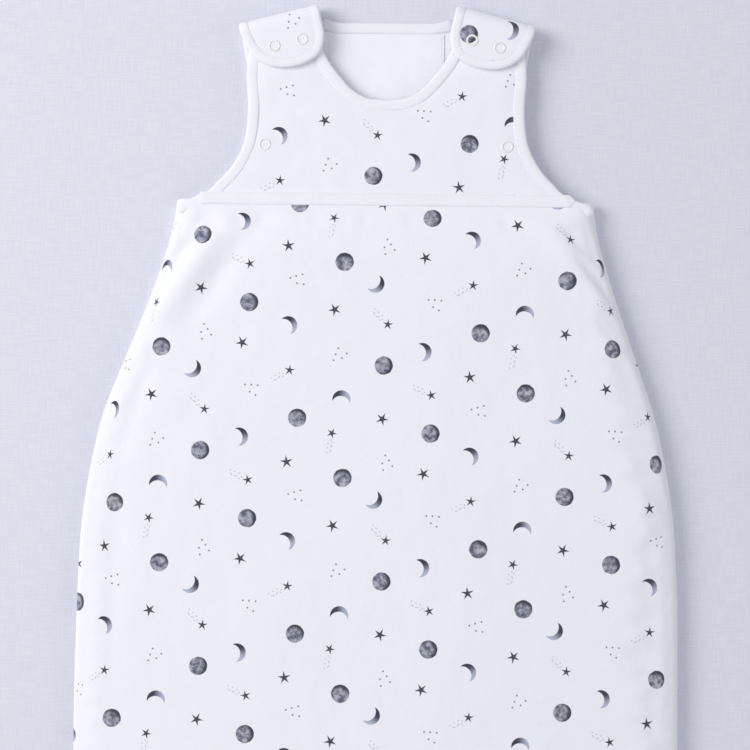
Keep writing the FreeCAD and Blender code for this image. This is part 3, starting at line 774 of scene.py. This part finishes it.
def edge_range(y):
    """Where the right half of the yoke starts and ends at y: the neck's edge and the armhole's."""
    neck = NECK_LINE[NECK_LINE[:, 0] >= 0]
    order = np.argsort(neck[:, 1][: np.argmax(neck[:, 1]) + 1])
    neck_x = np.interp(y, neck[:, 1][order], neck[:, 0][order], left=0)
    arm = ARMHOLE_LINE[np.argmax(ARMHOLE_LINE[:, 0] > ARMHOLE_START_X):]
    arm_x = np.interp(-y, -arm[:, 1], arm[:, 0])
    slant = (ROLL.y - y - STRAP_END_BACK) / math.tan(SHOULDER_SLOPE) + ROLL.x
    return neck_x, np.minimum(arm_x, np.maximum(slant, neck_x))


# %% Shape one half
YOKE_GRID, YOKE_THICK, YOKE_INSET = (30, 90), 0.0040, 0.004
YOKE_CROWN, YOKE_CROWN_RUN, YOKE_SINK = 0.0009, 0.016, 0.0007
YOKE_LOW_Y, YOKE_HIGH_Y = WAIST_LOW + 0.001, 0.4565
NECK_LOW_Y = FRONT_NECK[-1][1] - YOKE_INSET


def yoke_place(hand):
    def place(u, v):
        y = YOKE_LOW_Y + (YOKE_HIGH_Y - YOKE_LOW_Y) * v
        start, end = edge_range(y + YOKE_INSET * (y > NECK_LOW_Y))
        start = np.where(y > NECK_LOW_Y, start + YOKE_INSET, 0)
        end = np.maximum(end - YOKE_INSET, start + 0.002)
        across = start + (end - start) * u
        edge = np.minimum(end - across, np.where(start > 0, across - start, 1))
        crown = YOKE_CROWN * np.sin(np.clip(edge / YOKE_CROWN_RUN, 0, 1) * math.pi / 2)
        return np.column_stack([across * hand, y, YOKE_TOP - YOKE_SINK + crown])
    return place


def yoke_flat(hand):
    def flat(u, v):
        return yoke_place(hand)(u, v)[:, :2] + YOKE_CUT
    return flat


# %% Join and pad the yoke
YOKE_CUT = np.array([0.010, 0.020])  # the yoke is cut from another place on the printed cloth
halves = [lay_grid(f"front_yoke_{hand}", *YOKE_GRID, yoke_place(hand), yoke_flat(hand)) for hand in (1, -1)]
for half in halves:
    half.select_set(True)
bpy.ops.object.join()
yoke = bpy.context.object
yoke.name = yoke.data.name = "front_yoke"
bpy.ops.object.mode_set(mode="EDIT")
bpy.ops.mesh.select_all(action="SELECT")
bpy.ops.mesh.remove_doubles(threshold=1e-5)
bpy.ops.mesh.normals_make_consistent(inside=False)
bpy.ops.object.mode_set(mode="OBJECT")
if sum(face.normal.z for face in yoke.data.polygons) < 0:
    yoke.data.flip_normals()
points = read_points(yoke)
points[:, 2] += 0.0007 * ripple(points, 0.05, 1.0) + 0.00025 * ripple(points, 0.016, 5.0)
write_points(yoke, points)
dress(yoke, PRINTED, LINING)
thicken(yoke, YOKE_THICK, lining=1)
soften(yoke)
settle_piece(yoke, "bag", ["front_yoke_shell", "front_yoke_wadding", "front_yoke_lining"])

# %% [markdown]
# ## The back
#
# The back is one flat panel that the bag lies on. It could be a grid like the front, but its
# technical solid already has the right outline, so a copy of it is cleaned, thickened to the full
# layer and given soft, bevelled edges.

# %% Copy a technical part
def copy_of(name, node):
    """One clean mesh made from a copy of a technical part."""
    pick(NODES[node])
    bpy.ops.object.duplicate()
    piece = bpy.context.object
    bpy.ops.object.parent_clear(type="CLEAR_KEEP_TRANSFORM")
    piece.name = piece.data.name = name
    for key in list(piece.keys()):
        del piece[key]
    bpy.ops.object.mode_set(mode="EDIT")
    bpy.ops.mesh.select_all(action="SELECT")
    bpy.ops.mesh.remove_doubles(threshold=2e-5)
    bpy.ops.mesh.normals_make_consistent(inside=False)
    bpy.ops.object.mode_set(mode="OBJECT")
    return piece


# %% Back panel
OUTER_FACES = -0.6  # a face that points down more than this shows the print
back = copy_of("back_panel", "back_wadding")
points = read_points(back)
middle = points[:, 2].mean()
points[:, 2] = np.where(points[:, 2] > middle, BACK_TOP, BACK_LOW)
write_points(back, points)
add_modifier(back, "DECIMATE", decimate_type="DISSOLVE", angle_limit=math.radians(3))
add_modifier(back, "BEVEL", width=0.0019, segments=4, limit_method="ANGLE", angle_limit=CREASE)
add_modifier(back, "TRIANGULATE")
write_flat(back, read_points(back)[:, :2] * np.array([-1, 1]))
dress(back, PRINTED, LINING)
for face in back.data.polygons:
    face.material_index = int(face.normal.z > OUTER_FACES)
soften(back)
settle_piece(back, "bag", ["back_shell", "back_wadding", "back_lining"])

# %% [markdown]
# ## Bindings
#
# A binding is a strip of jersey folded over the raw edge and sewn down. It reads as a soft, slightly
# domed ribbon. A bevelled curve could follow the edge, but it gives no cloth coordinates along the
# strip, so a grid is rolled up into a closed tube with a flattened round section.

# %% Binding helper
def lifted(low, high):
    """Turns flat places and a height from -1 to 1 into points between two levels."""
    def to_space(x, y, height):
        return np.column_stack([x, y, low + (high - low) * (height + 1) / 2])
    return to_space


END_ROUND, ROUND_IT = 0.0015, 2.2  # how soon an end is full, and widths once round the strip


def band(name, line, width, to_space, around=18, square=0.62):
    """A folded strip along the line, lying on its right-hand side."""
    count = len(line)
    right = rightward(line)
    length = np.concatenate([[0], np.cumsum(np.linalg.norm(np.diff(line, axis=0), axis=1))])

    def place(u, v):
        row = np.rint(v * (count - 1)).astype(int)
        turn = 2 * math.pi * u
        taper = np.clip(np.minimum(length[row], length[-1] - length[row]) / END_ROUND, 0.05, 1) ** 0.5
        wide = np.sign(np.cos(turn)) * np.abs(np.cos(turn)) ** square
        tall = np.sign(np.sin(turn)) * np.abs(np.sin(turn)) ** square * taper
        flat = line[row] + right[row] * (width / 2 * (1 + wide * taper))[:, None]
        return to_space(flat[:, 0], flat[:, 1], tall)

    def flat(u, v):
        row = np.rint(v * (count - 1)).astype(int)
        return np.column_stack([u * ROUND_IT * width, length[row]])

    piece = lay_grid(name, around, count - 1, place, flat)
    pick(piece)
    bpy.ops.object.mode_set(mode="EDIT")
    bpy.ops.mesh.select_all(action="DESELECT")
    bpy.ops.mesh.select_non_manifold()
    bpy.ops.mesh.edge_face_add()
    bpy.ops.mesh.select_all(action="SELECT")
    bpy.ops.mesh.normals_make_consistent(inside=False)
    bpy.ops.object.mode_set(mode="OBJECT")
    dress(piece, BINDING)
    soften(piece)
    return piece


# %% [markdown]
# ## Stitches
#
# One row of small stitches holds each binding. A stitch is a short thread that dips in at both ends.
# A dashed line in the material would look painted on, so one stitch is modelled and then copied along
# the row in a single mesh.

# %% One shape, copied along a line
def copies_along(name, line, step, shape, faces, to_space):
    """Copies of a small shape, a step apart on a flat line, each one turned with the line."""
    spots = even(line, step)
    points = []
    for spot, way in zip(spots, directions(spots)):
        x = spot[0] + shape[:, 0] * way[0] - shape[:, 1] * way[1]
        y = spot[1] + shape[:, 0] * way[1] + shape[:, 1] * way[0]
        points.append(to_space(x, y, shape[:, 2]))
    starts = range(0, len(spots) * len(shape), len(shape))
    sides = [[start + corner for corner in face] for start in starts for face in faces]
    mesh = bpy.data.meshes.new(name)
    mesh.from_pydata(np.vstack(points).tolist(), [], sides)
    piece = bpy.data.objects.new(name, mesh)
    bpy.context.scene.collection.objects.link(piece)
    return piece


def take_shape(piece, bevel):
    """Bevels a small model and returns its points and faces. The model itself isn't kept."""
    bpy.ops.object.transform_apply(location=True, rotation=True, scale=True)
    add_modifier(piece, "BEVEL", width=bevel, segments=1)
    points, faces = read_points(piece), [list(face.vertices) for face in piece.data.polygons]
    bpy.data.objects.remove(piece)
    return points, faces


# %% Stitch helper
STITCH, STITCH_GAP, THREAD_RADIUS, STITCH_DIP = 0.0020, 0.0009, 0.00022, 0.00018
bpy.ops.object.select_all(action="DESELECT")
bpy.ops.mesh.primitive_cylinder_add(vertices=6, radius=THREAD_RADIUS, depth=STITCH,
                                    rotation=(0, math.pi / 2, 0))
STITCH_POINTS, STITCH_FACES = take_shape(bpy.context.object, THREAD_RADIUS * 0.6)
STITCH_POINTS[:, 2] -= STITCH_DIP * (STITCH_POINTS[:, 0] / (STITCH / 2)) ** 4
print("one stitch:", len(STITCH_FACES), "faces")


def stitch_row(name, line, to_space, body):
    piece = copies_along(name, line, STITCH + STITCH_GAP, STITCH_POINTS, STITCH_FACES, to_space)
    dress(piece, THREAD)
    soften(piece)
    settle_piece(piece, body)
    return piece


def at_height(z):
    def to_space(x, y, height):
        return np.column_stack([x, y, z + height])
    return to_space


# %% [markdown]
# ## Neck and armhole bindings
#
# The neck and both armholes are bound, in front and at the back. Each edge could be modelled by
# itself, but all six are the same strip on another line, so one function makes them.

# %% Neck and armhole bindings
BINDING_WIDTH, SEWN_AT = 0.0098, 0.84  # the stitches run at this share of the width
FRONT_BINDING = lifted(YOKE_LOW + 0.0002, YOKE_TOP + 0.0005)
BACK_BINDING = lifted(BACK_LOW, BACK_TOP + 0.0003)
FRONT_THREAD = at_height(YOKE_TOP + 0.0004)
BACK_THREAD = at_height(BACK_TOP + 0.0002)
BACK_ARMHOLE_LINE = smooth([(ROLL + ALONG_SHOULDER * SHOULDER_HALF).to_2d()[:]] + ARMHOLE, 0.003)
BACK_NECK_LINE = mirror_join(smooth(BACK_NECK, 0.003))


def bind_edge(name, line, side, to_space, thread_space):
    """A binding and its row of stitches. Side is 1 when the cloth is on the line's right."""
    path = line if side == 1 else line[::-1]
    piece = band(name + "_cloth", path, BINDING_WIDTH, to_space)
    settle_piece(piece, "bag", [name])
    row = inside(path, BINDING_WIDTH * SEWN_AT)[1:-1]
    stitch_row(name + "_stitches", row, thread_space, "bag")


bind_edge("front_neck_binding", NECK_LINE, 1, FRONT_BINDING, FRONT_THREAD)
bind_edge("back_neck_binding", BACK_NECK_LINE, 1, BACK_BINDING, BACK_THREAD)
for hand in ("right", "left"):
    for level, line, space, thread in (("front", ARMHOLE_LINE, FRONT_BINDING, FRONT_THREAD),
                                       ("back", BACK_ARMHOLE_LINE, BACK_BINDING, BACK_THREAD)):
        edge = line if hand == "right" else flipped(line)
        side = 1 if hand == "right" else -1
        bind_edge(f"{hand}_{level}_armhole_binding", edge, side, space, thread)

# %% [markdown]
# ## Waist band
#
# A flat folded strip covers the seam between yoke and skirt. It is tucked under the armhole bindings.
# A raised loop of the skirt's own faces would show the print, so the band is a strip of its own, made
# by the binding's function with a squarer section.

# %% Waist band
BAND_LOW_Z, BAND_TOP_Z = YOKE_TOP - 0.0012, YOKE_TOP + 0.0016
BAND_REACH, BAND_WIDTH, FOLD_ALLOWANCE = 0.1545, WAIST_TOP - WAIST_LOW, 0.0026
BAND_EDGES = (0.0013, 0.0090)
waist_line = even(np.array([[-BAND_REACH, WAIST_TOP], [BAND_REACH, WAIST_TOP]]), 0.004)
waist = band("waist_band_cloth", waist_line, BAND_WIDTH, lifted(BAND_LOW_Z, BAND_TOP_Z), square=0.4)
settle_piece(waist, "bag", ["waist_band"])
for edge, name in zip(BAND_EDGES, ("waist_band_top_stitches", "waist_band_low_stitches")):
    stitch_row(name, inside(waist_line, edge)[2:-2], at_height(BAND_TOP_Z - 0.0001), "bag")

# %% [markdown]
# ## Shoulder straps
#
# Each back strap runs up over the shoulder and comes down in front as a padded tab. A bend modifier
# would need its own set-up for panel, binding and stitches. The strap has a flat map instead, and one
# function bends all three alike: flat on the back, half a turn over the shoulder, flat on the tab.

# %% Strap map
ROLL_RADIUS = (TAB_TOP - BACK_LOW) / 2 - (TAB_TOP - TAB_LOW) / 2
HALF_TURN = math.pi * ROLL_RADIUS
TAB_REACH = 0.036
STRAP_TAIL, STRAP_INSET, TAB_TIP = 0.010, 0.004, 0.0045  # on the back, beside and below the panel
STRAP_LAYER = (TAB_TOP - TAB_LOW) / 2


def strap_space(hand, thickness):
    """Bends the flat strap. x is across, y is along the strap from the shoulder's back edge."""
    def to_space(x, y, height):
        rise = height * thickness
        turn = np.clip(y / ROLL_RADIUS, 0, math.pi) - math.pi / 2
        ahead = np.where(y > HALF_TURN, -(y - HALF_TURN), np.minimum(y, 0))
        radius = ROLL_RADIUS + rise
        out = np.cos(turn) * radius + ahead
        z = ROLL.z + np.sin(turn) * radius
        points = (np.array(ROLL)[None, :2] + np.outer(x, np.array(ALONG_SHOULDER)[:2])
                  + np.outer(out, np.array(HEADWARD)[:2]))
        if hand == "left":
            points[:, 0] *= -1
        return np.column_stack([points, z])
    return to_space


# %% Outline of the tab
TAB_SHAPE = [(-0.5, 0), (-0.48, 0.5), (-0.36, 0.86), (-0.1, 1), (0.2, 0.9), (0.41, 0.56), (0.5, 0)]
LINE_STEP, SIDE_STOP = 0.0025, 0.002  # between points, and before the tab's curve begins
tab_outline = smooth([(x * 2 * SHOULDER_HALF, HALF_TURN + y * TAB_REACH) for x, y in TAB_SHAPE], LINE_STEP)
sides = [np.array([[x, -STRAP_TAIL], [x, HALF_TURN - SIDE_STOP]]) for x in (-SHOULDER_HALF, SHOULDER_HALF)]
STRAP_EDGE = np.vstack([even(sides[0], LINE_STEP), tab_outline, even(sides[1], LINE_STEP)[::-1]])
TAB_BINDING, TAB_SEWN_AT = 0.0083, 0.86
print("strap edge:", len(STRAP_EDGE), "points")

# %% Sizes of the padded strap
STRAP_GRID, STRAP_THICK = (36, 48), 0.0040
EDGE_LIFT, STRAP_CROWN, CROWN_SHARE = 0.72, 0.24, 0.4  # shares of the layer, and of the half width
BINDING_LIFT, THREAD_LIFT = 1.06, 1.02
TAB_CUT = {"right": np.array([0.018, 0.040]), "left": np.array([0.102, 0.107])}


def strap_width(y):
    """The strap's two edges at y, a little inside its binding."""
    tip = np.argmax(tab_outline[:, 1])
    left = np.interp(y, tab_outline[:tip, 1], tab_outline[:tip, 0])
    right = np.interp(y, tab_outline[tip:, 1][::-1], tab_outline[tip:, 0][::-1])
    return left + STRAP_INSET, right - STRAP_INSET


# %% Strap panel
def make_strap(hand):
    end = HALF_TURN + TAB_REACH - TAB_TIP
    to_space = strap_space(hand, STRAP_LAYER)

    def flat_place(u, v):
        y = -STRAP_TAIL + (end + STRAP_TAIL) * v
        left, right = strap_width(y)
        return left + (right - left) * u, y

    def place(u, v):
        x, y = flat_place(u, v)
        edge = np.minimum(u, 1 - u) * 2
        crown = EDGE_LIFT + STRAP_CROWN * np.sin(np.clip(edge / CROWN_SHARE, 0, 1) * math.pi / 2)
        return to_space(x, y, crown)

    def flat(u, v):
        x, y = flat_place(u, v)
        return np.column_stack([x if hand == "right" else -x, -y]) + TAB_CUT[hand]

    piece = lay_grid(f"{hand}_strap", *STRAP_GRID, place, flat)
    dress(piece, PRINTED, LINING)
    thicken(piece, STRAP_THICK, lining=1)
    soften(piece)
    return piece


def blend_strap(piece, hand):
    middle = ROLL.copy()
    if hand == "left":
        middle.x = -middle.x
    low, high = middle.copy(), middle.copy()
    low.z, high.z = BACK_TOP, TAB_LOW
    tuple(low)
    tuple(high)
    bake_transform(piece)


# %% [markdown]
# ## Both straps
#
# The straps mirror each other, but their print doesn't, because both are cut from the same cloth.
# So the left one isn't a mirror copy: it is made again, with its own place on the cloth. Panel,
# binding and stitches bend from the bag to the tab over the shoulder.

# %% Make both straps
for hand in ("right", "left"):
    strap = make_strap(hand)
    settle_piece(strap, None,
                 [f"{hand}_tab_shell", f"{hand}_tab_wadding", f"{hand}_tab_lining", f"{hand}_shoulder_roll"])
    blend_strap(strap, hand)
    edging = band(f"{hand}_tab_binding_cloth", STRAP_EDGE, TAB_BINDING,
                  strap_space(hand, STRAP_LAYER * BINDING_LIFT))
    settle_piece(edging, None, [f"{hand}_tab_binding"])
    blend_strap(edging, hand)
    surface = strap_space(hand, 1.0)
    lift = STRAP_LAYER * THREAD_LIFT
    row = inside(STRAP_EDGE, TAB_BINDING * TAB_SEWN_AT)[3:-3]
    stitches = stitch_row(f"{hand}_tab_stitches", row, lambda x, y, h: surface(x, y, h + lift),
                          None)
    blend_strap(stitches, hand)

# %% [markdown]
# ## Neck facing
#
# A plain patch inside the back neck carries the maker's print on a real bag. It stays plain here. It
# could be one flat face, but a thin sheet with a slight ripple reads as cloth sewn down at its sides.

# %% Facing
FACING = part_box("back_neck_facing")
FACING_RISE, FACING_THICK, FACING_WAVE, FACING_HEM = 0.0002, 0.0006, 0.0002, 0.0022


def facing_place(u, v):
    (x0, y0, _), (x1, y1, z1) = FACING
    x, y = x0 + (x1 - x0) * u, y0 + (y1 - y0) * v
    return np.column_stack([x, y, np.full_like(x, z1 + FACING_RISE)])


facing = lay_grid("neck_facing_cloth", 24, 20, facing_place, lambda u, v: facing_place(u, v)[:, :2])
points = read_points(facing)
points[:, 2] += FACING_WAVE * ripple(points, 0.03, 2.0)
write_points(facing, points)
dress(facing, LINING)
thicken(facing, FACING_THICK)
soften(facing)
settle_piece(facing, "bag", ["back_neck_facing"])
for hand, side in (("right", 1), ("left", -1)):
    column = np.array([[side * (FACING[1][0] - FACING_HEM), FACING[step][1]] for step in (0, 1)])
    stitch_row(f"{hand}_facing_stitches", even(column, STITCH + STITCH_GAP)[1:-1],
               at_height(FACING[1][2] + 0.0003), "bag")

# %% [markdown]
# ## Ring snaps
#
# The snap's front is an open ring with prongs that pinch the cloth. The cloth shows through the
# middle. The technical ring is a flat washer with only a small round at its edges, and would catch
# the light as hard lines. So each ring is a flattened torus in cream enamel, pressed a little into
# the padding.

# %% Snap rings
SNAP_RADIUS, SNAP_MIDDLE_RADIUS, SNAP_WIRE, SNAP_FLATNESS = 0.005, 0.0041, 0.0009, 0.72


def ring_pair(name, body, node, top):
    """A rounded ring for each of the technical part's two. The right tab's pair slopes downwards."""
    (x0, y0, _), (x1, y1, _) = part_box(node)
    left_y, right_y = y0 + SNAP_RADIUS, y1 - SNAP_RADIUS
    if body == "right_tab":
        left_y, right_y = right_y, left_y
    rings = []
    for x, y in ((x0 + SNAP_RADIUS, left_y), (x1 - SNAP_RADIUS, right_y)):
        bpy.ops.object.select_all(action="DESELECT")
        bpy.ops.mesh.primitive_torus_add(major_radius=SNAP_MIDDLE_RADIUS, minor_radius=SNAP_WIRE,
                                         major_segments=48, minor_segments=14, location=(x, y, top))
        ring = bpy.context.object
        ring.scale.z = SNAP_FLATNESS
        bpy.ops.object.transform_apply(location=True, rotation=True, scale=True)
        rings.append(ring)
    rings[0].select_set(True)
    bpy.ops.object.join()
    piece = bpy.context.object
    piece.name = piece.data.name = name
    dress(piece, ENAMEL)
    soften(piece)
    settle_piece(piece, body, [node])


for hand in ("right", "left"):
    ring_pair(f"{hand}_tab_round_rings", f"{hand}_tab", f"{hand}_tab_snap_rings", TAB_TOP - 0.0001)
ring_pair("side_front_round_rings", "bag", "side_snap_front_rings", YOKE_TOP + 0.0001)
for node in NODES:
    if "snap" in node and "front_rings" not in node and "tab_snap_rings" not in node:
        dress(NODES[node], ENAMEL)

# %% [markdown]
# ## Zip
#
# Moulded teeth run in two rows from below the left underarm, down the side and round the foot. A
# bumpy ribbon would look flat from the side, so one tooth is made as a small bevelled block and
# copied along the row at the real pitch.

# %% Zip line
TOOTH_PITCH, TOOTH, TOOTH_BEVEL = 0.0026, (0.0015, 0.0020, 0.0019), 0.0004
TAPE_THICK = 0.0006
ZIP_TOP_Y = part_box("zip_teeth_back")[1][1]
TEETH_END_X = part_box("zip_teeth_back")[1][0]
ROW_LOW, ROW_LOW_TOP = low_high("zip_teeth_back", 2)
ROW_HIGH_LOW, ROW_HIGH = low_high("zip_teeth_flap", 2)


def zip_line(distance):
    """The left side, the corner and the foot, at a distance inside the outline, from the top down."""
    left = SIDE_LINE[SIDE_LINE[:, 1] < ZIP_TOP_Y]
    turns = np.linspace(0, math.pi / 2, 24)
    corner = np.column_stack([HALF_HEM - HEM_CORNER + HEM_CORNER * np.cos(turns),
                              HEM_Y + HEM_CORNER - HEM_CORNER * np.sin(turns)])
    half = flipped(np.vstack([left, corner]))
    return inside(even(np.vstack([half, [[TEETH_END_X, HEM_Y]]]), 0.003), -distance)


# %% Teeth and tape
bpy.ops.object.select_all(action="DESELECT")
bpy.ops.mesh.primitive_cube_add(size=1)
bpy.context.object.scale = TOOTH
TOOTH_POINTS, TOOTH_FACES = take_shape(bpy.context.object, TOOTH_BEVEL)
print("one tooth:", len(TOOTH_FACES), "faces")


def teeth_row(name, body, low, high, nodes, line):
    piece = copies_along(name, line, TOOTH_PITCH, TOOTH_POINTS, TOOTH_FACES, at_height((low + high) / 2))
    dress(piece, TEETH)
    settle_piece(piece, body, nodes)
    return piece


def tape_strip(name, body, low, high, nodes, line):
    def place(u, v):
        row = np.rint(v * (len(line) - 1)).astype(int)
        return np.column_stack([line[row], low + (high - low) * u])

    piece = lay_grid(name, 4, len(line) - 1, place, lambda u, v: np.column_stack([u * (high - low), v]))
    add_modifier(piece, "SOLIDIFY", thickness=TAPE_THICK, offset=0)
    dress(piece, TAPE)
    soften(piece)
    settle_piece(piece, body, nodes)
    return piece


# %% [markdown]
# ## Two rows of the zip
#
# The lower row stays with the back and the upper one lifts with the front, so they are separate
# pieces. Stops, slider and puller keep their technical shapes, which are already fine enough, and
# only get their finish here.

# %% Make the zip
TOOTH_SETBACK, TAPE_SETBACK = 0.0014, 0.0026  # behind the outline
tooth_line, tape_line = zip_line(TOOTH_SETBACK), zip_line(TAPE_SETBACK)
teeth_row("zip_teeth_row_back", "bag", ROW_LOW, ROW_LOW_TOP, ["zip_teeth_back"], tooth_line)
blend_flap(teeth_row("zip_teeth_front", None, ROW_HIGH_LOW, ROW_HIGH,
                     ["zip_teeth_flap", "zip_teeth_hem_end"], tooth_line))
tape_strip("zip_tape_strip_back", "bag", BACK_TOP - 0.0004, ROW_LOW_TOP, ["zip_tape_back"], tape_line)
blend_flap(tape_strip("zip_tape_front", None, ROW_HIGH_LOW, LIP + 0.0015,
                      ["zip_tape_flap", "zip_tape_hem_end"], tape_line))
for node, material in (("zip_top_stops", TEETH), ("zip_bottom_stop", TEETH), ("zip_slider", SLIDER_PAINT),
                       ("zip_puller", SLIDER_PAINT)):
    dress(NODES[node], material)

# %% [markdown]
# ## Set, light and camera
#
# The bag lies on pale linen. Modelled threads would be lost at this distance, so two stretched
# noises, one across the other, stand for warp and weft.

# %% Linen table
LINEN_DARK, LINEN_LIGHT = (0.69, 0.71, 0.795, 1), (0.745, 0.765, 0.84, 1)
LONG_THREAD, SHORT_THREAD = 60.0, 1100.0


def linen():
    nodes = Nodes("linen_cloth")
    place = nodes.add("ShaderNodeTexCoord").outputs["Object"]
    parts = nodes.add("ShaderNodeSeparateXYZ", (place,))
    warp = nodes.noise(nodes.vector("MULTIPLY", place, (SHORT_THREAD, LONG_THREAD, 1.0)), 1.0, 2.0)
    weft = nodes.noise(nodes.vector("MULTIPLY", place, (LONG_THREAD, SHORT_THREAD, 1.0)), 1.0, 2.0)
    weave = nodes.math("ADD", warp, weft)
    nodes.bump(weave, 0.00025, 0.5)
    slub = nodes.ramp(weave, 0.75, 1.3)
    nodes.put(nodes.blend(slub, LINEN_DARK, LINEN_LIGHT), nodes.shader.inputs["Base Color"])
    return nodes.settle(Roughness=0.95, Specular_IOR_Level=0.1)


bpy.ops.object.select_all(action="DESELECT")
bpy.ops.mesh.primitive_plane_add(size=24, location=(0, 0, -0.0002))
floor = bpy.context.object
floor.name = "linen_table"
bpy.ops.object.transform_apply(location=True)
dress(floor, linen())

# %% [markdown]
# ## Light and camera
#
# A large soft light on the left and a weaker one on the right leave a gentle shade along the right
# edge. A bare bright sky would flatten the folds. The camera looks straight down.

# %% Lights
WORLD_COLOUR, WORLD_STRENGTH = (0.93, 0.925, 0.97, 1), 0.56
AIM = (0, 0.1, 0)


def soft_light(name, place, size, power, colour):
    bpy.ops.object.light_add(type="AREA", location=place)
    light = bpy.context.object
    light.name = name
    light.data.shape = "DISK"
    light.data.size, light.data.energy, light.data.color = size, power, colour
    way = Vector(AIM) - Vector(place)
    light.rotation_euler = way.to_track_quat("-Z", "Y").to_euler()


soft_light("window_left", (-2.2, 0.9, 1.9), size=1.9, power=58, colour=(1.0, 0.99, 0.97))
soft_light("fill_right", (2.4, -0.6, 2.2), size=2.5, power=12, colour=(0.93, 0.96, 1.0))
world = bpy.data.worlds.new("studio")
world.use_nodes = True
world.node_tree.nodes["Background"].inputs[0].default_value = WORLD_COLOUR
world.node_tree.nodes["Background"].inputs[1].default_value = WORLD_STRENGTH
bpy.context.scene.world = world
bpy.context.scene.view_settings.view_transform = "Standard"

# %% Camera
CAMERA_X, CAMERA_Y = -0.007, 0.172
CAMERA_HEIGHT, SEEN_WIDTH, SENSOR, LEAN = 1.6, 0.610, 36.0, math.radians(0.6)
bpy.ops.object.camera_add(location=(CAMERA_X, CAMERA_Y, CAMERA_HEIGHT), rotation=(0, 0, LEAN))
camera = bpy.context.object
camera.data.sensor_width = SENSOR
camera.data.lens = SENSOR * (CAMERA_HEIGHT - SKIRT_TOP) / SEEN_WIDTH
bpy.context.scene.camera = camera
